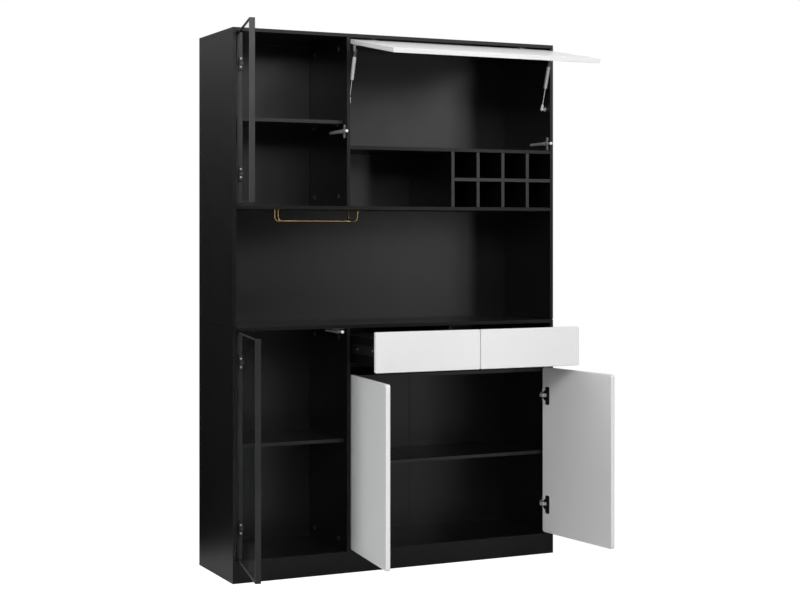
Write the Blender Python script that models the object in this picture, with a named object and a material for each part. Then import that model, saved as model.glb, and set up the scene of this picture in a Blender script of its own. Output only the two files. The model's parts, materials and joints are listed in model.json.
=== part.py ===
"""A tall two-part kitchen sideboard in black board with white fronts.

The lower body stands on the floor and carries the upper body on its sides.
Two glass doors close the left column. On the right a lift-up flap on gas
struts sits above an open compartment and a bottle rack, an open niche with
hanging stemware rails runs across, and two drawers and two doors are below.
Width runs along X, the front faces -Y and Z points up. The origin is on the
floor at the middle of the footprint. All doors, the flap and the drawers
stand open, as they are shown.
"""
import math

import bmesh
import bpy
from mathutils import Matrix, Vector

# Overall size and boards
WIDTH = 1.200
DEPTH = 0.340
BOARD = 0.012
SEAT = 0.0003
EDGE = 0.0005
OVERRUN = 0.002
SUNK = 0.0002

# Columns
LEFT_BAY_WIDTH = 0.390

# Levels, from the floor up: clear heights between boards, and rises over the board below
PLINTH_HEIGHT = 0.0595
LOWER_BAY_HEIGHT = 0.5725
DRAWER_FRONT_HEIGHT = 0.133
NICHE_HEIGHT = 0.384
OPEN_HEIGHT = 0.190
FLAP_BAY_HEIGHT = 0.362
LOWER_RIGHT_SHELF_RISE = 0.2795
LOWER_LEFT_SHELF_RISE = 0.3625
UPPER_LEFT_SHELF_RISE = 0.2755

# Backs
BACK_THICKNESS = 0.004
BACK_INSET = 0.005
BACK_GROOVE = 0.005
STRIP_WIDTH = 0.013
STRIP_THICKNESS = 0.001

# Plinth
PLINTH_REAR_INSET = 0.030

# Loose shelves and their pins
UPPER_SHELF_RECESS = 0.030
LOWER_SHELF_RECESS = 0.025
SHELF_PLAY = 0.001
PIN_RADIUS = 0.0025
PIN_REACH = 0.008
PIN_ROOT = 0.004
PIN_SETBACK = 0.045
ROUND_SIDES = 16

# Bottle rack
RACK_COLUMNS = 4
RACK_LAP_PLAY = 0.0003
COMPARTMENT_SETBACK = 0.001

# White fronts
FRONT_THICKNESS = 0.015
FRONT_ROUNDING = 0.003
FRONT_ROUNDING_STEPS = 3
DOOR_GAP = 0.003
PAIR_GAP = 0.002
DOOR_DECK_RISE = 0.003
DRAWER_DECK_GAP = 0.024
DECK_RECESS = 0.021
FLAP_OPEN_DEG = 79.5
LEFT_DOOR_OPEN_DEG = 96.7
RIGHT_DOOR_OPEN_DEG = 96.4

# Glass doors
GLASS_DOOR_THICKNESS = 0.018
GLASS_FRAME_FACE = 0.006
GLASS_THICKNESS = 0.004
GLASS_SETBACK = 0.001
GLASS_GROOVE = 0.002
GLASS_FRAME_EDGE = 0.0004
UPPER_GLASS_OPEN_DEG = 104.3
LOWER_GLASS_OPEN_DEG = 101.5

# Hinge axes: distance from the board that carries them, and behind the front plane
CUP_AXIS_OFFSET = 0.0135
CUP_AXIS_DEPTH = 0.0075
SHOE_AXIS_OFFSET = 0.016
SHOE_AXIS_DEPTH = 0.009
HINGE_END_DISTANCE = 0.100

# Hinge cups in the white fronts
CUP_BORE_RADIUS = 0.0175
CUP_BORE_DEPTH = 0.012
CUP_EDGE_DISTANCE = 0.004
CUP_WALL = 0.0011
CUP_RIM_RADIUS = 0.019
CUP_RIM_RISE = 0.0003
CUP_FLANGE_HEIGHT = 0.064
CUP_FLANGE_WIDTH = 0.018
CUP_FLANGE_SHIFT = 0.006
CUP_FLANGE_CORNER = 0.008
CUP_FLANGE_THICKNESS = 0.0012
CUP_SIDES = 24

# Hinge arms, pins and plates
ARM_HEIGHT = 0.011
ARM_THICKNESS = 0.002
ARM_EYE_RADIUS = 0.0026
PIN_BORE_RADIUS = 0.0013
HINGE_PIN_RADIUS = 0.0011
ARM_SLOT_PLAY = 0.0015
CUP_ARM_LEAN_DEG = 77.0
CUP_ARM_NOSE = 0.010
CUP_ARM_ELBOW_OFFSET = 0.030
CUP_ARM_ELBOW_DEPTH = 0.023
SHOE_ARM_LEAN_DEG = 80.0
SHOE_ARM_NOSE = 0.0125
SHOE_ARM_ELBOW_OFFSET = 0.034
SHOE_ARM_ELBOW_DEPTH = 0.0275
ARM_SEAT_OFFSET = 0.008
ARM_STEP = 0.004
ARM_REACH = 0.034
PLATE_LENGTH = 0.034
PLATE_HEIGHT = 0.044
PLATE_WAIST = 0.016
PLATE_THICKNESS = 0.0025
PLATE_RIB_SHARE = 0.4

# Hinge shoes on the glass door frames
SHOE_HEIGHT = 0.046
SHOE_LENGTH = 0.012
SHOE_WEB = 0.001
SHOE_BACK_SETBACK = 0.0005
SHOE_PIN_ROOT = 0.001

# Gas struts
STRUT_WALL_DEPTH = 0.037
STRUT_WALL_DROP = 0.213
STRUT_FLAP_DEPTH = 0.016
STRUT_FLAP_DROP = 0.045
STRUT_SIDE_OFFSET = 0.012
CYLINDER_RADIUS = 0.0065
CYLINDER_WALL = 0.001
CYLINDER_START = 0.018
CYLINDER_LENGTH = 0.091
CYLINDER_FLOOR = 0.008
NECK_RADIUS = 0.0035
ROD_RADIUS = 0.0025
ROD_INSERTION = 0.026
EYE_RADIUS = 0.0055
EYE_BORE_RADIUS = 0.0033
EYE_WIDTH = 0.008
STUD_RADIUS = 0.003
STUD_OVERHANG = 0.0015
BRACKET_PLATE_RADIUS = 0.009
BRACKET_PLATE_THICKNESS = 0.002
FLAP_BRACKET_LENGTH = 0.030
FLAP_BRACKET_WEB = 0.002
FLAP_BRACKET_WIDTH = 0.014
FLAP_BRACKET_EAR_RADIUS = 0.005

# Push latches
LATCH_TRAVEL = 0.038
LATCH_OFFSET = 0.008
LOWER_LATCH_OFFSET = 0.0105
LATCH_BODY_RADIUS = 0.0065
LATCH_BORE_RADIUS = 0.0055
LATCH_BODY_LENGTH = 0.104
LATCH_MOUTH_DEPTH = 0.0195
LATCH_FLOOR = 0.004
LATCH_CROSS_HEIGHT = 0.045
LATCH_CROSS_WIDTH = 0.012
LATCH_CROSS_THICKNESS = 0.002
LATCH_CROSS_DEPTH = 0.013
LATCH_RIB_WIDTH = 0.005
LATCH_TIP_RADIUS = 0.005
LATCH_TIP_LENGTH = 0.008
LATCH_ROD_RADIUS = 0.003
LATCH_ROD_LENGTH = 0.066
LATCH_COLLAR_RADIUS = 0.0052
LATCH_COLLAR_LENGTH = 0.010
LATCH_TIP_ROUNDING = 0.001
LATCH_TOUCH_GAP = 0.0005
UPPER_LATCH_DROP = 0.0255
FLAP_LATCH_RISE = 0.025
LOWER_LATCH_SIDE_OFFSET = 0.0235

# Stemware rails
RAIL_RADIUS = 0.00275
RAIL_DROP = 0.038
RAIL_FRONT_DEPTH = 0.055
RAIL_PITCH = 0.030
RAIL_START = 0.178
RAIL_LENGTH = 0.255
RAIL_FLARE_RUN = 0.023
RAIL_FLARE_SPREAD = 0.025
RAIL_BEND_RADIUS = 0.009
RAIL_BEND_STEPS = 5
RAIL_FOOT_RADIUS = 0.0065
RAIL_FOOT_THICKNESS = 0.0015
WELD_DISTANCE = 0.00001

# Drawers and their slides
DRAWER_PULLED = 0.198
DRAWER_SIDE_CLEARANCE = 0.0127
DRAWER_BOX_RISE = 0.018
DRAWER_BOX_DROP = 0.023
DRAWER_FLOOR_THICKNESS = 0.004
DRAWER_FLOOR_RISE = 0.010
DRAWER_GROOVE = 0.006
SLIDE_REAR_CLEARANCE = 0.0124
SLIDE_HEIGHT = 0.035
SLIDE_SHEET = 0.0012
SLIDE_DEPTH = 0.0095
SLIDE_PLAY = 0.0004
SLIDE_MEMBER_DEPTH = 0.0055
SLIDE_CENTRE_RISE = 0.050

# Places that follow from the sizes above
LEFT = -WIDTH / 2
RIGHT = WIDTH / 2
FRONT = -DEPTH / 2
REAR = DEPTH / 2
INNER_LEFT = LEFT + BOARD
INNER_RIGHT = RIGHT - BOARD
DIVIDER_LEFT = INNER_LEFT + LEFT_BAY_WIDTH
DIVIDER_RIGHT = DIVIDER_LEFT + BOARD
RIGHT_BAY_MIDDLE = (DIVIDER_RIGHT + INNER_RIGHT) / 2
PARTITION_LEFT = RIGHT_BAY_MIDDLE - BOARD / 2
PARTITION_RIGHT = RIGHT_BAY_MIDDLE + BOARD / 2
BOTTOM_TOP = PLINTH_HEIGHT + BOARD
LOWER_RIGHT_SHELF_HEIGHT = BOTTOM_TOP + LOWER_RIGHT_SHELF_RISE
LOWER_LEFT_SHELF_HEIGHT = BOTTOM_TOP + LOWER_LEFT_SHELF_RISE
DECK_UNDERSIDE = BOTTOM_TOP + LOWER_BAY_HEIGHT
DECK_TOP = DECK_UNDERSIDE + BOARD
DOOR_TOP = DECK_TOP + DOOR_DECK_RISE
DRAWER_BOTTOM = DECK_TOP + DRAWER_DECK_GAP
DRAWER_TOP = DRAWER_BOTTOM + DRAWER_FRONT_HEIGHT
COUNTERTOP_UNDERSIDE = DRAWER_TOP + DOOR_GAP
LOWER_HEIGHT = COUNTERTOP_UNDERSIDE + BOARD
NICHE_SHELF_UNDERSIDE = LOWER_HEIGHT + NICHE_HEIGHT
NICHE_SHELF_TOP = NICHE_SHELF_UNDERSIDE + BOARD
FLAP_SHELF_UNDERSIDE = NICHE_SHELF_TOP + OPEN_HEIGHT
FLAP_SHELF_TOP = FLAP_SHELF_UNDERSIDE + BOARD
TOP_UNDERSIDE = FLAP_SHELF_TOP + FLAP_BAY_HEIGHT
HEIGHT = TOP_UNDERSIDE + BOARD
UPPER_LEFT_SHELF_HEIGHT = NICHE_SHELF_TOP + UPPER_LEFT_SHELF_RISE
BACK_REAR = REAR - BACK_INSET
BACK_FRONT = BACK_REAR - BACK_THICKNESS
BOARD_REAR = BACK_FRONT - STRIP_THICKNESS - 2 * SEAT
SLIDE_START = FRONT + FRONT_THICKNESS + OVERRUN
SLIDE_LENGTH = BOARD_REAR - SLIDE_REAR_CLEARANCE - SLIDE_START
STRUT_RIGHT_X = INNER_RIGHT - STRUT_SIDE_OFFSET
STRUT_LEFT_X = DIVIDER_RIGHT + STRUT_SIDE_OFFSET


def clear_scene():
    """Removes whatever objects the file holds."""
    for item in list(bpy.data.objects):
        bpy.data.objects.remove(item, do_unlink=True)


def make_material(name, colour, roughness, metallic=0.0, alpha=1.0):
    """Returns a Principled material with the given colour and finish."""
    material = bpy.data.materials.new(name)
    material.use_nodes = True
    shader = material.node_tree.nodes["Principled BSDF"]
    shader.inputs["Base Color"].default_value = (*colour, 1.0)
    shader.inputs["Roughness"].default_value = roughness
    shader.inputs["Metallic"].default_value = metallic
    shader.inputs["Alpha"].default_value = alpha
    material.diffuse_color = (*colour, alpha)
    return material


FINISHES = {
    "black_board": ((0.018, 0.018, 0.019), 0.45, 0.0, 1.0),
    "black_back": ((0.022, 0.022, 0.023), 0.55, 0.0, 1.0),
    "white_board": ((0.80, 0.80, 0.80), 0.25, 0.0, 1.0),
    "black_metal": ((0.020, 0.020, 0.021), 0.35, 0.6, 1.0),
    "glass": ((0.90, 0.95, 0.94), 0.02, 0.0, 0.15),
    "steel": ((0.62, 0.62, 0.63), 0.30, 1.0, 1.0),
    "zinc": ((0.52, 0.52, 0.54), 0.35, 1.0, 1.0),
    "brass": ((0.62, 0.42, 0.20), 0.28, 1.0, 1.0),
    "grey_plastic": ((0.30, 0.30, 0.31), 0.50, 0.0, 1.0),
    "white_plastic": ((0.78, 0.78, 0.78), 0.40, 0.0, 1.0),
}


def finish(name, node):
    """Returns a new material of a named finish for one node."""
    colour, roughness, metallic, alpha = FINISHES[name]
    return make_material(node + "_" + name, colour, roughness, metallic, alpha)


def add_object(name, mesh, finish_name, parent=None, smooth=False):
    """Links a mesh as a named object with its own material."""
    mesh.materials.clear()
    mesh.materials.append(finish(finish_name, name))
    if smooth:
        mesh.shade_smooth()
        mesh.set_sharp_from_angle(angle=math.radians(35))
    item = bpy.data.objects.new(name, mesh)
    bpy.context.scene.collection.objects.link(item)
    if parent is not None:
        item.parent = parent
    return item


def add_pivot(name, location, axis="Z", degrees=0.0):
    """Adds the empty that a moving body turns or slides with."""
    pivot = bpy.data.objects.new(name, None)
    bpy.context.scene.collection.objects.link(pivot)
    pivot.location = location
    turn = math.radians(degrees)
    pivot.rotation_euler = {"X": (turn, 0, 0), "Y": (0, turn, 0), "Z": (0, 0, turn)}[axis]
    return pivot


def to_mesh(shape, name="shape"):
    """Turns a bmesh into a mesh with its faces pointing out."""
    bmesh.ops.recalc_face_normals(shape, faces=shape.faces)
    mesh = bpy.data.meshes.new(name)
    shape.to_mesh(mesh)
    shape.free()
    return mesh


def join(meshes, matrices=None):
    """Joins meshes, each with its own matrix, into one mesh of separate solids."""
    joined = bmesh.new()
    for index, mesh in enumerate(meshes):
        part = bmesh.new()
        part.from_mesh(mesh)
        if matrices is not None:
            bmesh.ops.transform(part, matrix=matrices[index], verts=part.verts)
            if matrices[index].determinant() < 0:
                bmesh.ops.reverse_faces(part, faces=part.faces)
        placed = bpy.data.meshes.new("placed")
        part.to_mesh(placed)
        part.free()
        joined.from_mesh(placed)
        bpy.data.meshes.remove(placed)
    mesh = bpy.data.meshes.new("joined")
    joined.to_mesh(mesh)
    joined.free()
    return mesh


def box(low, high):
    """Returns a box mesh between two corners."""
    low, high = Vector(low), Vector(high)
    shape = bmesh.new()
    bmesh.ops.create_cube(shape, size=1.0)
    size = high - low
    bmesh.ops.scale(shape, vec=size, verts=shape.verts)
    bmesh.ops.translate(shape, vec=(low + high) / 2, verts=shape.verts)
    return to_mesh(shape)


def outline_solid(points, low, high, flat="XY"):
    """Extrudes a closed outline from low to high, square to its plane."""
    places = {"XY": lambda a, b, c: (a, b, c), "XZ": lambda a, b, c: (a, c, b),
              "YZ": lambda a, b, c: (c, a, b)}[flat]
    shape = bmesh.new()
    first = [shape.verts.new(places(a, b, low)) for a, b in points]
    face = shape.faces.new(first)
    grown = bmesh.ops.extrude_face_region(shape, geom=[face])
    shift = Vector(places(0, 0, high - low))
    moved = [item for item in grown["geom"] if isinstance(item, bmesh.types.BMVert)]
    bmesh.ops.translate(shape, vec=shift, verts=moved)
    return to_mesh(shape)


def axis_matrix(start, axis):
    """Returns the matrix that stands local Z along an axis at a start point."""
    turn = Vector((0, 0, 1)).rotation_difference(Vector(axis)).to_matrix().to_4x4()
    return Matrix.Translation(Vector(start)) @ turn


def turned(profile, start, axis, sides=ROUND_SIDES):
    """Revolves (radius, height) pairs about an axis; the ends are closed flat."""
    shape = bmesh.new()
    rings = []
    for radius, height in profile:
        ring = []
        for step in range(sides):
            angle = 2 * math.pi * step / sides
            ring.append(shape.verts.new((radius * math.cos(angle), radius * math.sin(angle), height)))
        rings.append(ring)
    for lower, upper in zip(rings, rings[1:]):
        for step in range(sides):
            after = (step + 1) % sides
            shape.faces.new((lower[step], lower[after], upper[after], upper[step]))
    shape.faces.new(list(reversed(rings[0])))
    shape.faces.new(rings[-1])
    bmesh.ops.transform(shape, matrix=axis_matrix(start, axis), verts=shape.verts)
    return to_mesh(shape)


def rod(start, axis, radius, length, sides=ROUND_SIDES):
    """Returns a plain round bar."""
    return turned([(radius, 0.0), (radius, length)], start, axis, sides)


def boolean(base, tool, operation):
    """Returns the exact union or difference of two meshes."""
    holders = []
    for mesh in (base, tool):
        holder = bpy.data.objects.new("holder", mesh)
        bpy.context.scene.collection.objects.link(holder)
        holders.append(holder)
    change = holders[0].modifiers.new("change", "BOOLEAN")
    change.operation = operation
    change.solver = "EXACT"
    change.object = holders[1]
    bpy.context.view_layer.update()
    state = bpy.context.evaluated_depsgraph_get()
    result = bpy.data.meshes.new_from_object(holders[0].evaluated_get(state))
    for holder in holders:
        bpy.data.objects.remove(holder, do_unlink=True)
    return result


def fuse(base, *tools):
    """Returns the union of several meshes."""
    for tool in tools:
        base = boolean(base, tool, "UNION")
    return base


def carve(base, *tools):
    """Returns a mesh less several others."""
    for tool in tools:
        base = boolean(base, tool, "DIFFERENCE")
    return base


def soften(item, width, steps=1):
    """Adds a bevel to the sharp edges of an object."""
    bevel = item.modifiers.new("edges", "BEVEL")
    bevel.width = width
    bevel.segments = steps
    bevel.limit_method = "ANGLE"
    bevel.angle_limit = math.radians(40)


def change_with(item, operation, meshes):
    """Cuts or adds a set of separate solids with one hidden helper."""
    if not meshes:
        return
    helper = bpy.data.objects.new(item.name + "_" + operation.lower(), join(meshes))
    bpy.context.scene.collection.objects.link(helper)
    helper.parent = item.parent
    helper.hide_render = True
    helper.display_type = "WIRE"
    change = item.modifiers.new(operation.lower(), "BOOLEAN")
    change.operation = operation
    change.solver = "EXACT"
    change.object = helper


def add_board(name, low, high, cuts=(), additions=()):
    """Adds a board with softened edges, its cuts and what is fixed to it."""
    item = add_object(name, box(low, high), "black_board")
    soften(item, EDGE)
    change_with(item, "DIFFERENCE", list(cuts))
    change_with(item, "UNION", list(additions))
    return item


def shelf_list():
    """Returns the column, level and recess of every loose shelf."""
    return (("upper_left_shelf", INNER_LEFT, DIVIDER_LEFT, UPPER_LEFT_SHELF_HEIGHT, UPPER_SHELF_RECESS),
            ("lower_left_shelf", INNER_LEFT, DIVIDER_LEFT, LOWER_LEFT_SHELF_HEIGHT, LOWER_SHELF_RECESS),
            ("lower_right_shelf", DIVIDER_RIGHT, INNER_RIGHT, LOWER_RIGHT_SHELF_HEIGHT, LOWER_SHELF_RECESS))


def pin_list():
    """Returns the wall point and the inward direction of every shelf pin."""
    pins = []
    for _, x_low, x_high, underside, recess in shelf_list():
        height = underside - SEAT - PIN_RADIUS
        for y in (FRONT + recess + PIN_SETBACK, BOARD_REAR - PIN_SETBACK):
            pins.append(((x_low, y, height), (-1, 0, 0)))
            pins.append(((x_high, y, height), (1, 0, 0)))
    return pins


def wall_pins(wall_x, direction, z_low, z_high):
    """Returns the shelf pins in one face of an upright board."""
    pins = []
    for place, inward in pin_list():
        if place[0] == wall_x and inward[0] == direction and z_low < place[2] < z_high:
            start = Vector(place) - PIN_REACH * Vector(inward)
            pins.append(rod(start, inward, PIN_RADIUS, PIN_REACH + PIN_ROOT))
    return pins


def back_groove(inner_x, outward, z_low, z_high):
    """Returns the groove that holds the edge of a back panel in a side."""
    x_low, x_high = sorted((inner_x - outward * OVERRUN, inner_x + outward * BACK_GROOVE))
    return box((x_low, BACK_FRONT - SEAT, z_low - OVERRUN), (x_high, BACK_REAR + SEAT, z_high + OVERRUN))


def build_carcass():
    """Builds the boards of both bodies."""
    for side, low_x, inner_x, outward in (("left", LEFT, INNER_LEFT, -1), ("right", INNER_RIGHT, INNER_RIGHT, 1)):
        for level, z_low, z_high in (("lower", 0.0, LOWER_HEIGHT), ("upper", LOWER_HEIGHT + SEAT, TOP_UNDERSIDE)):
            fixed = wall_pins(inner_x, outward, z_low, z_high)
            if (side, level) == ("right", "lower"):
                fixed.append(cabinet_slide(INNER_RIGHT, -1))
            add_board(level + "_side_" + side, (low_x, FRONT, z_low), (low_x + BOARD, REAR, z_high),
                      [back_groove(inner_x, outward, z_low, z_high)], fixed)
    add_board("top_panel", (LEFT, FRONT, TOP_UNDERSIDE + SEAT), (RIGHT, REAR, HEIGHT))
    flat_low, flat_high = INNER_LEFT + SEAT, INNER_RIGHT - SEAT
    add_board("countertop", (flat_low, FRONT, COUNTERTOP_UNDERSIDE), (flat_high, BOARD_REAR, LOWER_HEIGHT))
    add_board("bottom_panel", (flat_low, FRONT + BOARD + SEAT, PLINTH_HEIGHT), (flat_high, BOARD_REAR, BOTTOM_TOP))
    add_board("plinth_front", (flat_low, FRONT, 0.0), (flat_high, FRONT + BOARD, BOTTOM_TOP))
    rear, rail_top = REAR - PLINTH_REAR_INSET, PLINTH_HEIGHT - SEAT
    middle_rail = box((-BOARD / 2, FRONT + BOARD + SEAT, 0.0), (BOARD / 2, rear - BOARD / 2, rail_top))
    add_board("plinth_rails", (flat_low, rear - BOARD, 0.0), (flat_high, rear, rail_top), (), [middle_rail])
    pins = wall_pins(DIVIDER_LEFT, 1, 0.0, LOWER_HEIGHT) + wall_pins(DIVIDER_RIGHT, -1, 0.0, LOWER_HEIGHT)
    add_board("lower_divider", (DIVIDER_LEFT, FRONT, BOTTOM_TOP + SEAT),
              (DIVIDER_RIGHT, BOARD_REAR, COUNTERTOP_UNDERSIDE - SEAT), (), pins + [cabinet_slide(DIVIDER_RIGHT, 1)])
    add_board("upper_divider", (DIVIDER_LEFT, FRONT, NICHE_SHELF_TOP + SEAT),
              (DIVIDER_RIGHT, BOARD_REAR, TOP_UNDERSIDE - SEAT), (), wall_pins(DIVIDER_LEFT, 1, LOWER_HEIGHT, HEIGHT))
    add_board("niche_top_shelf", (flat_low, FRONT, NICHE_SHELF_UNDERSIDE), (flat_high, BOARD_REAR, NICHE_SHELF_TOP))
    bay_low = DIVIDER_RIGHT + SEAT
    add_board("flap_shelf", (bay_low, FRONT, FLAP_SHELF_UNDERSIDE), (flat_high, BOARD_REAR, FLAP_SHELF_TOP))
    add_board("drawer_deck", (bay_low, FRONT + DECK_RECESS, DECK_UNDERSIDE), (flat_high, BOARD_REAR, DECK_TOP))
    add_board("drawer_partition", (PARTITION_LEFT, FRONT + DECK_RECESS, DECK_TOP + SEAT),
              (PARTITION_RIGHT, BOARD_REAR, COUNTERTOP_UNDERSIDE - SEAT), (),
              [cabinet_slide(PARTITION_LEFT, -1), cabinet_slide(PARTITION_RIGHT, 1)])


def build_backs():
    """Builds the two backs, each of two panels that a strip joins."""
    low, high = INNER_LEFT - BACK_GROOVE + SEAT, INNER_RIGHT + BACK_GROOVE - SEAT
    half = STRIP_WIDTH / 2
    levels = (("lower_back", PLINTH_HEIGHT, LOWER_HEIGHT - SEAT),
              ("upper_back", LOWER_HEIGHT + SEAT, TOP_UNDERSIDE - SEAT))
    for name, z_low, z_high in levels:
        panel = add_object(name, box((low, BACK_FRONT, z_low), (high, BACK_REAR, z_high)), "black_back")
        strip = box((RIGHT_BAY_MIDDLE - half, BACK_FRONT - STRIP_THICKNESS, z_low + SEAT),
                    (RIGHT_BAY_MIDDLE + half, BACK_REAR + STRIP_THICKNESS, z_high - SEAT))
        change_with(panel, "UNION", [strip])


def build_rack():
    """Builds the bottle rack from boards that lap halfway into each other."""
    z_low, z_high = NICHE_SHELF_TOP + SEAT, FLAP_SHELF_UNDERSIDE - SEAT
    front, rear = FRONT + COMPARTMENT_SETBACK, BOARD_REAR
    middle = (front + rear) / 2
    shelf_low = (NICHE_SHELF_TOP + FLAP_SHELF_UNDERSIDE - BOARD) / 2
    add_board("rack_end_panel", (PARTITION_LEFT, front, z_low), (PARTITION_RIGHT, rear, z_high))
    clear = (INNER_RIGHT - PARTITION_RIGHT - (RACK_COLUMNS - 1) * BOARD) / RACK_COLUMNS
    slots = []
    for column in range(1, RACK_COLUMNS):
        x_low = PARTITION_RIGHT + column * clear + (column - 1) * BOARD
        notch = box((x_low - OVERRUN, front - OVERRUN, shelf_low - RACK_LAP_PLAY),
                    (x_low + BOARD + OVERRUN, middle + RACK_LAP_PLAY, shelf_low + BOARD + RACK_LAP_PLAY))
        add_board("rack_upright_" + str(column), (x_low, front, z_low), (x_low + BOARD, rear, z_high), [notch])
        slots.append(box((x_low - RACK_LAP_PLAY, middle, shelf_low - OVERRUN),
                         (x_low + BOARD + RACK_LAP_PLAY, rear + OVERRUN, shelf_low + BOARD + OVERRUN)))
    add_board("rack_shelf", (PARTITION_RIGHT + SEAT, front, shelf_low),
              (INNER_RIGHT - SEAT, rear, shelf_low + BOARD), slots)


def build_shelves():
    """Builds the loose shelves, which rest on pins in the walls."""
    for name, x_low, x_high, underside, recess in shelf_list():
        add_board(name, (x_low + SHELF_PLAY, FRONT + recess, underside),
                  (x_high - SHELF_PLAY, BOARD_REAR, underside + BOARD))


def round_corners(points, radius, steps):
    """Returns a path whose inner corners are replaced by arcs."""
    points = [Vector(point) for point in points]
    path = [points[0]]
    for before, corner, after in zip(points, points[1:], points[2:]):
        back, ahead = (before - corner).normalized(), (after - corner).normalized()
        half = back.angle(ahead) / 2
        reach = radius / math.tan(half)
        centre = corner + (back + ahead).normalized() * radius / math.sin(half)
        start, end = corner + back * reach - centre, corner + ahead * reach - centre
        for step in range(steps + 1):
            path.append(centre + Matrix.Rotation(start.angle(end) * step / steps, 3, start.cross(end)) @ start)
    path.append(points[-1])
    return path


def swept_rod(path, radius):
    """Returns a round bar along a path, as a mesh with closed ends."""
    curve = bpy.data.curves.new("path", "CURVE")
    curve.dimensions = "3D"
    curve.bevel_depth = radius
    curve.bevel_resolution = 2
    curve.use_fill_caps = True
    spline = curve.splines.new("POLY")
    spline.points.add(len(path) - 1)
    for point, place in zip(spline.points, path):
        point.co = (*place, 1.0)
    holder = bpy.data.objects.new("holder", curve)
    bpy.context.scene.collection.objects.link(holder)
    bpy.context.view_layer.update()
    state = bpy.context.evaluated_depsgraph_get()
    swept = bpy.data.meshes.new_from_object(holder.evaluated_get(state))
    bpy.data.objects.remove(holder, do_unlink=True)
    shape = bmesh.new()
    shape.from_mesh(swept)
    bmesh.ops.remove_doubles(shape, verts=shape.verts, dist=WELD_DISTANCE)
    return to_mesh(shape)


def build_stemware_rails():
    """Builds the two brass rails that hold glasses by their feet."""
    ceiling = NICHE_SHELF_UNDERSIDE - SEAT
    low = NICHE_SHELF_UNDERSIDE - RAIL_DROP
    top = ceiling - RAIL_FOOT_THICKNESS / 2
    start_x = LEFT + RAIL_START
    end_x = start_x + RAIL_LENGTH
    rails = (("front_stemware_rail", FRONT + RAIL_FRONT_DEPTH, -1),
             ("rear_stemware_rail", FRONT + RAIL_FRONT_DEPTH + RAIL_PITCH, 1))
    for name, y, outward in rails:
        end = (end_x + RAIL_FLARE_RUN, y + outward * RAIL_FLARE_SPREAD, ceiling - RAIL_RADIUS)
        corners = [(start_x, y, top), (start_x, y, low), (end_x, y, low), end]
        bar = swept_rod(round_corners(corners, RAIL_BEND_RADIUS, RAIL_BEND_STEPS), RAIL_RADIUS)
        feet = [rod((foot[0], foot[1], ceiling), (0, 0, -1), RAIL_FOOT_RADIUS, RAIL_FOOT_THICKNESS)
                for foot in (corners[0], end)]
        change_with(add_object(name, bar, "brass", smooth=True), "UNION", feet)


def strip_outline(path, thickness):
    """Returns the outline of a bent strip of even thickness along a path."""
    left, right = [], []
    for index, point in enumerate(path):
        before = (point - path[index - 1]).normalized() if index else None
        after = (path[index + 1] - point).normalized() if index < len(path) - 1 else None
        if before is None or after is None:
            normal = Vector((-(before or after)[1], (before or after)[0]))
            reach = thickness / 2
        else:
            normals = [Vector((-way[1], way[0])) for way in (before, after)]
            normal = (normals[0] + normals[1]).normalized()
            reach = thickness / 2 / normal.dot(normals[0])
        left.append(point + normal * reach)
        right.append(point - normal * reach)
    return left + list(reversed(right))


def make_hinge(offset, depth, lean_deg, nose, elbow_offset, elbow_depth):
    """Returns a hinge's fixed half: a plate and a cranked arm with an eye at the pivot.

    The frame is the hinge's own: X is the distance from the board that
    carries the hinge, Y the distance behind the front plane, and Z runs
    along the axis.
    """
    lean = math.radians(lean_deg)
    pivot = Vector((offset, depth))
    tip = pivot + nose * Vector((math.sin(lean), math.cos(lean)))
    elbow = Vector((elbow_offset, elbow_depth))
    path = [pivot, tip, elbow, Vector((ARM_SEAT_OFFSET + ARM_STEP, elbow_depth)),
            Vector((ARM_SEAT_OFFSET, elbow_depth + ARM_STEP)), Vector((ARM_SEAT_OFFSET, elbow_depth + ARM_REACH))]
    half = ARM_HEIGHT / 2
    strip = outline_solid(strip_outline(path, ARM_THICKNESS), -half, half)
    eye_solid = rod((*pivot, -half), (0, 0, 1), ARM_EYE_RADIUS, ARM_HEIGHT)
    bore = rod((*pivot, -half - OVERRUN), (0, 0, 1), PIN_BORE_RADIUS, ARM_HEIGHT + 2 * OVERRUN)
    return fuse(carve(fuse(strip, eye_solid), bore), *make_plate(elbow_depth + ARM_STEP))


def make_plate(front):
    """Returns the cross-shaped plate that an arm is screwed to, and its rib."""
    rear = front + PLATE_LENGTH
    middle = (front + rear) / 2
    waist, half = PLATE_WAIST / 2, PLATE_HEIGHT / 2
    outline = [(front, -waist), (front, waist), (middle - waist, waist), (middle - waist, half),
               (middle + waist, half), (middle + waist, waist), (rear, waist), (rear, -waist),
               (middle + waist, -waist), (middle + waist, -half), (middle - waist, -half), (middle - waist, -waist)]
    base = outline_solid(outline, SEAT, SEAT + PLATE_THICKNESS, "YZ")
    rib = box((PLATE_THICKNESS / 2, front + ARM_STEP, PLATE_RIB_SHARE * -ARM_HEIGHT),
              (ARM_SEAT_OFFSET, rear - ARM_STEP, PLATE_RIB_SHARE * ARM_HEIGHT))
    return base, rib


def cup_centre():
    """Returns the distance of a hinge cup's centre from the carrying board."""
    return DOOR_GAP + CUP_EDGE_DISTANCE + CUP_BORE_RADIUS


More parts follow.
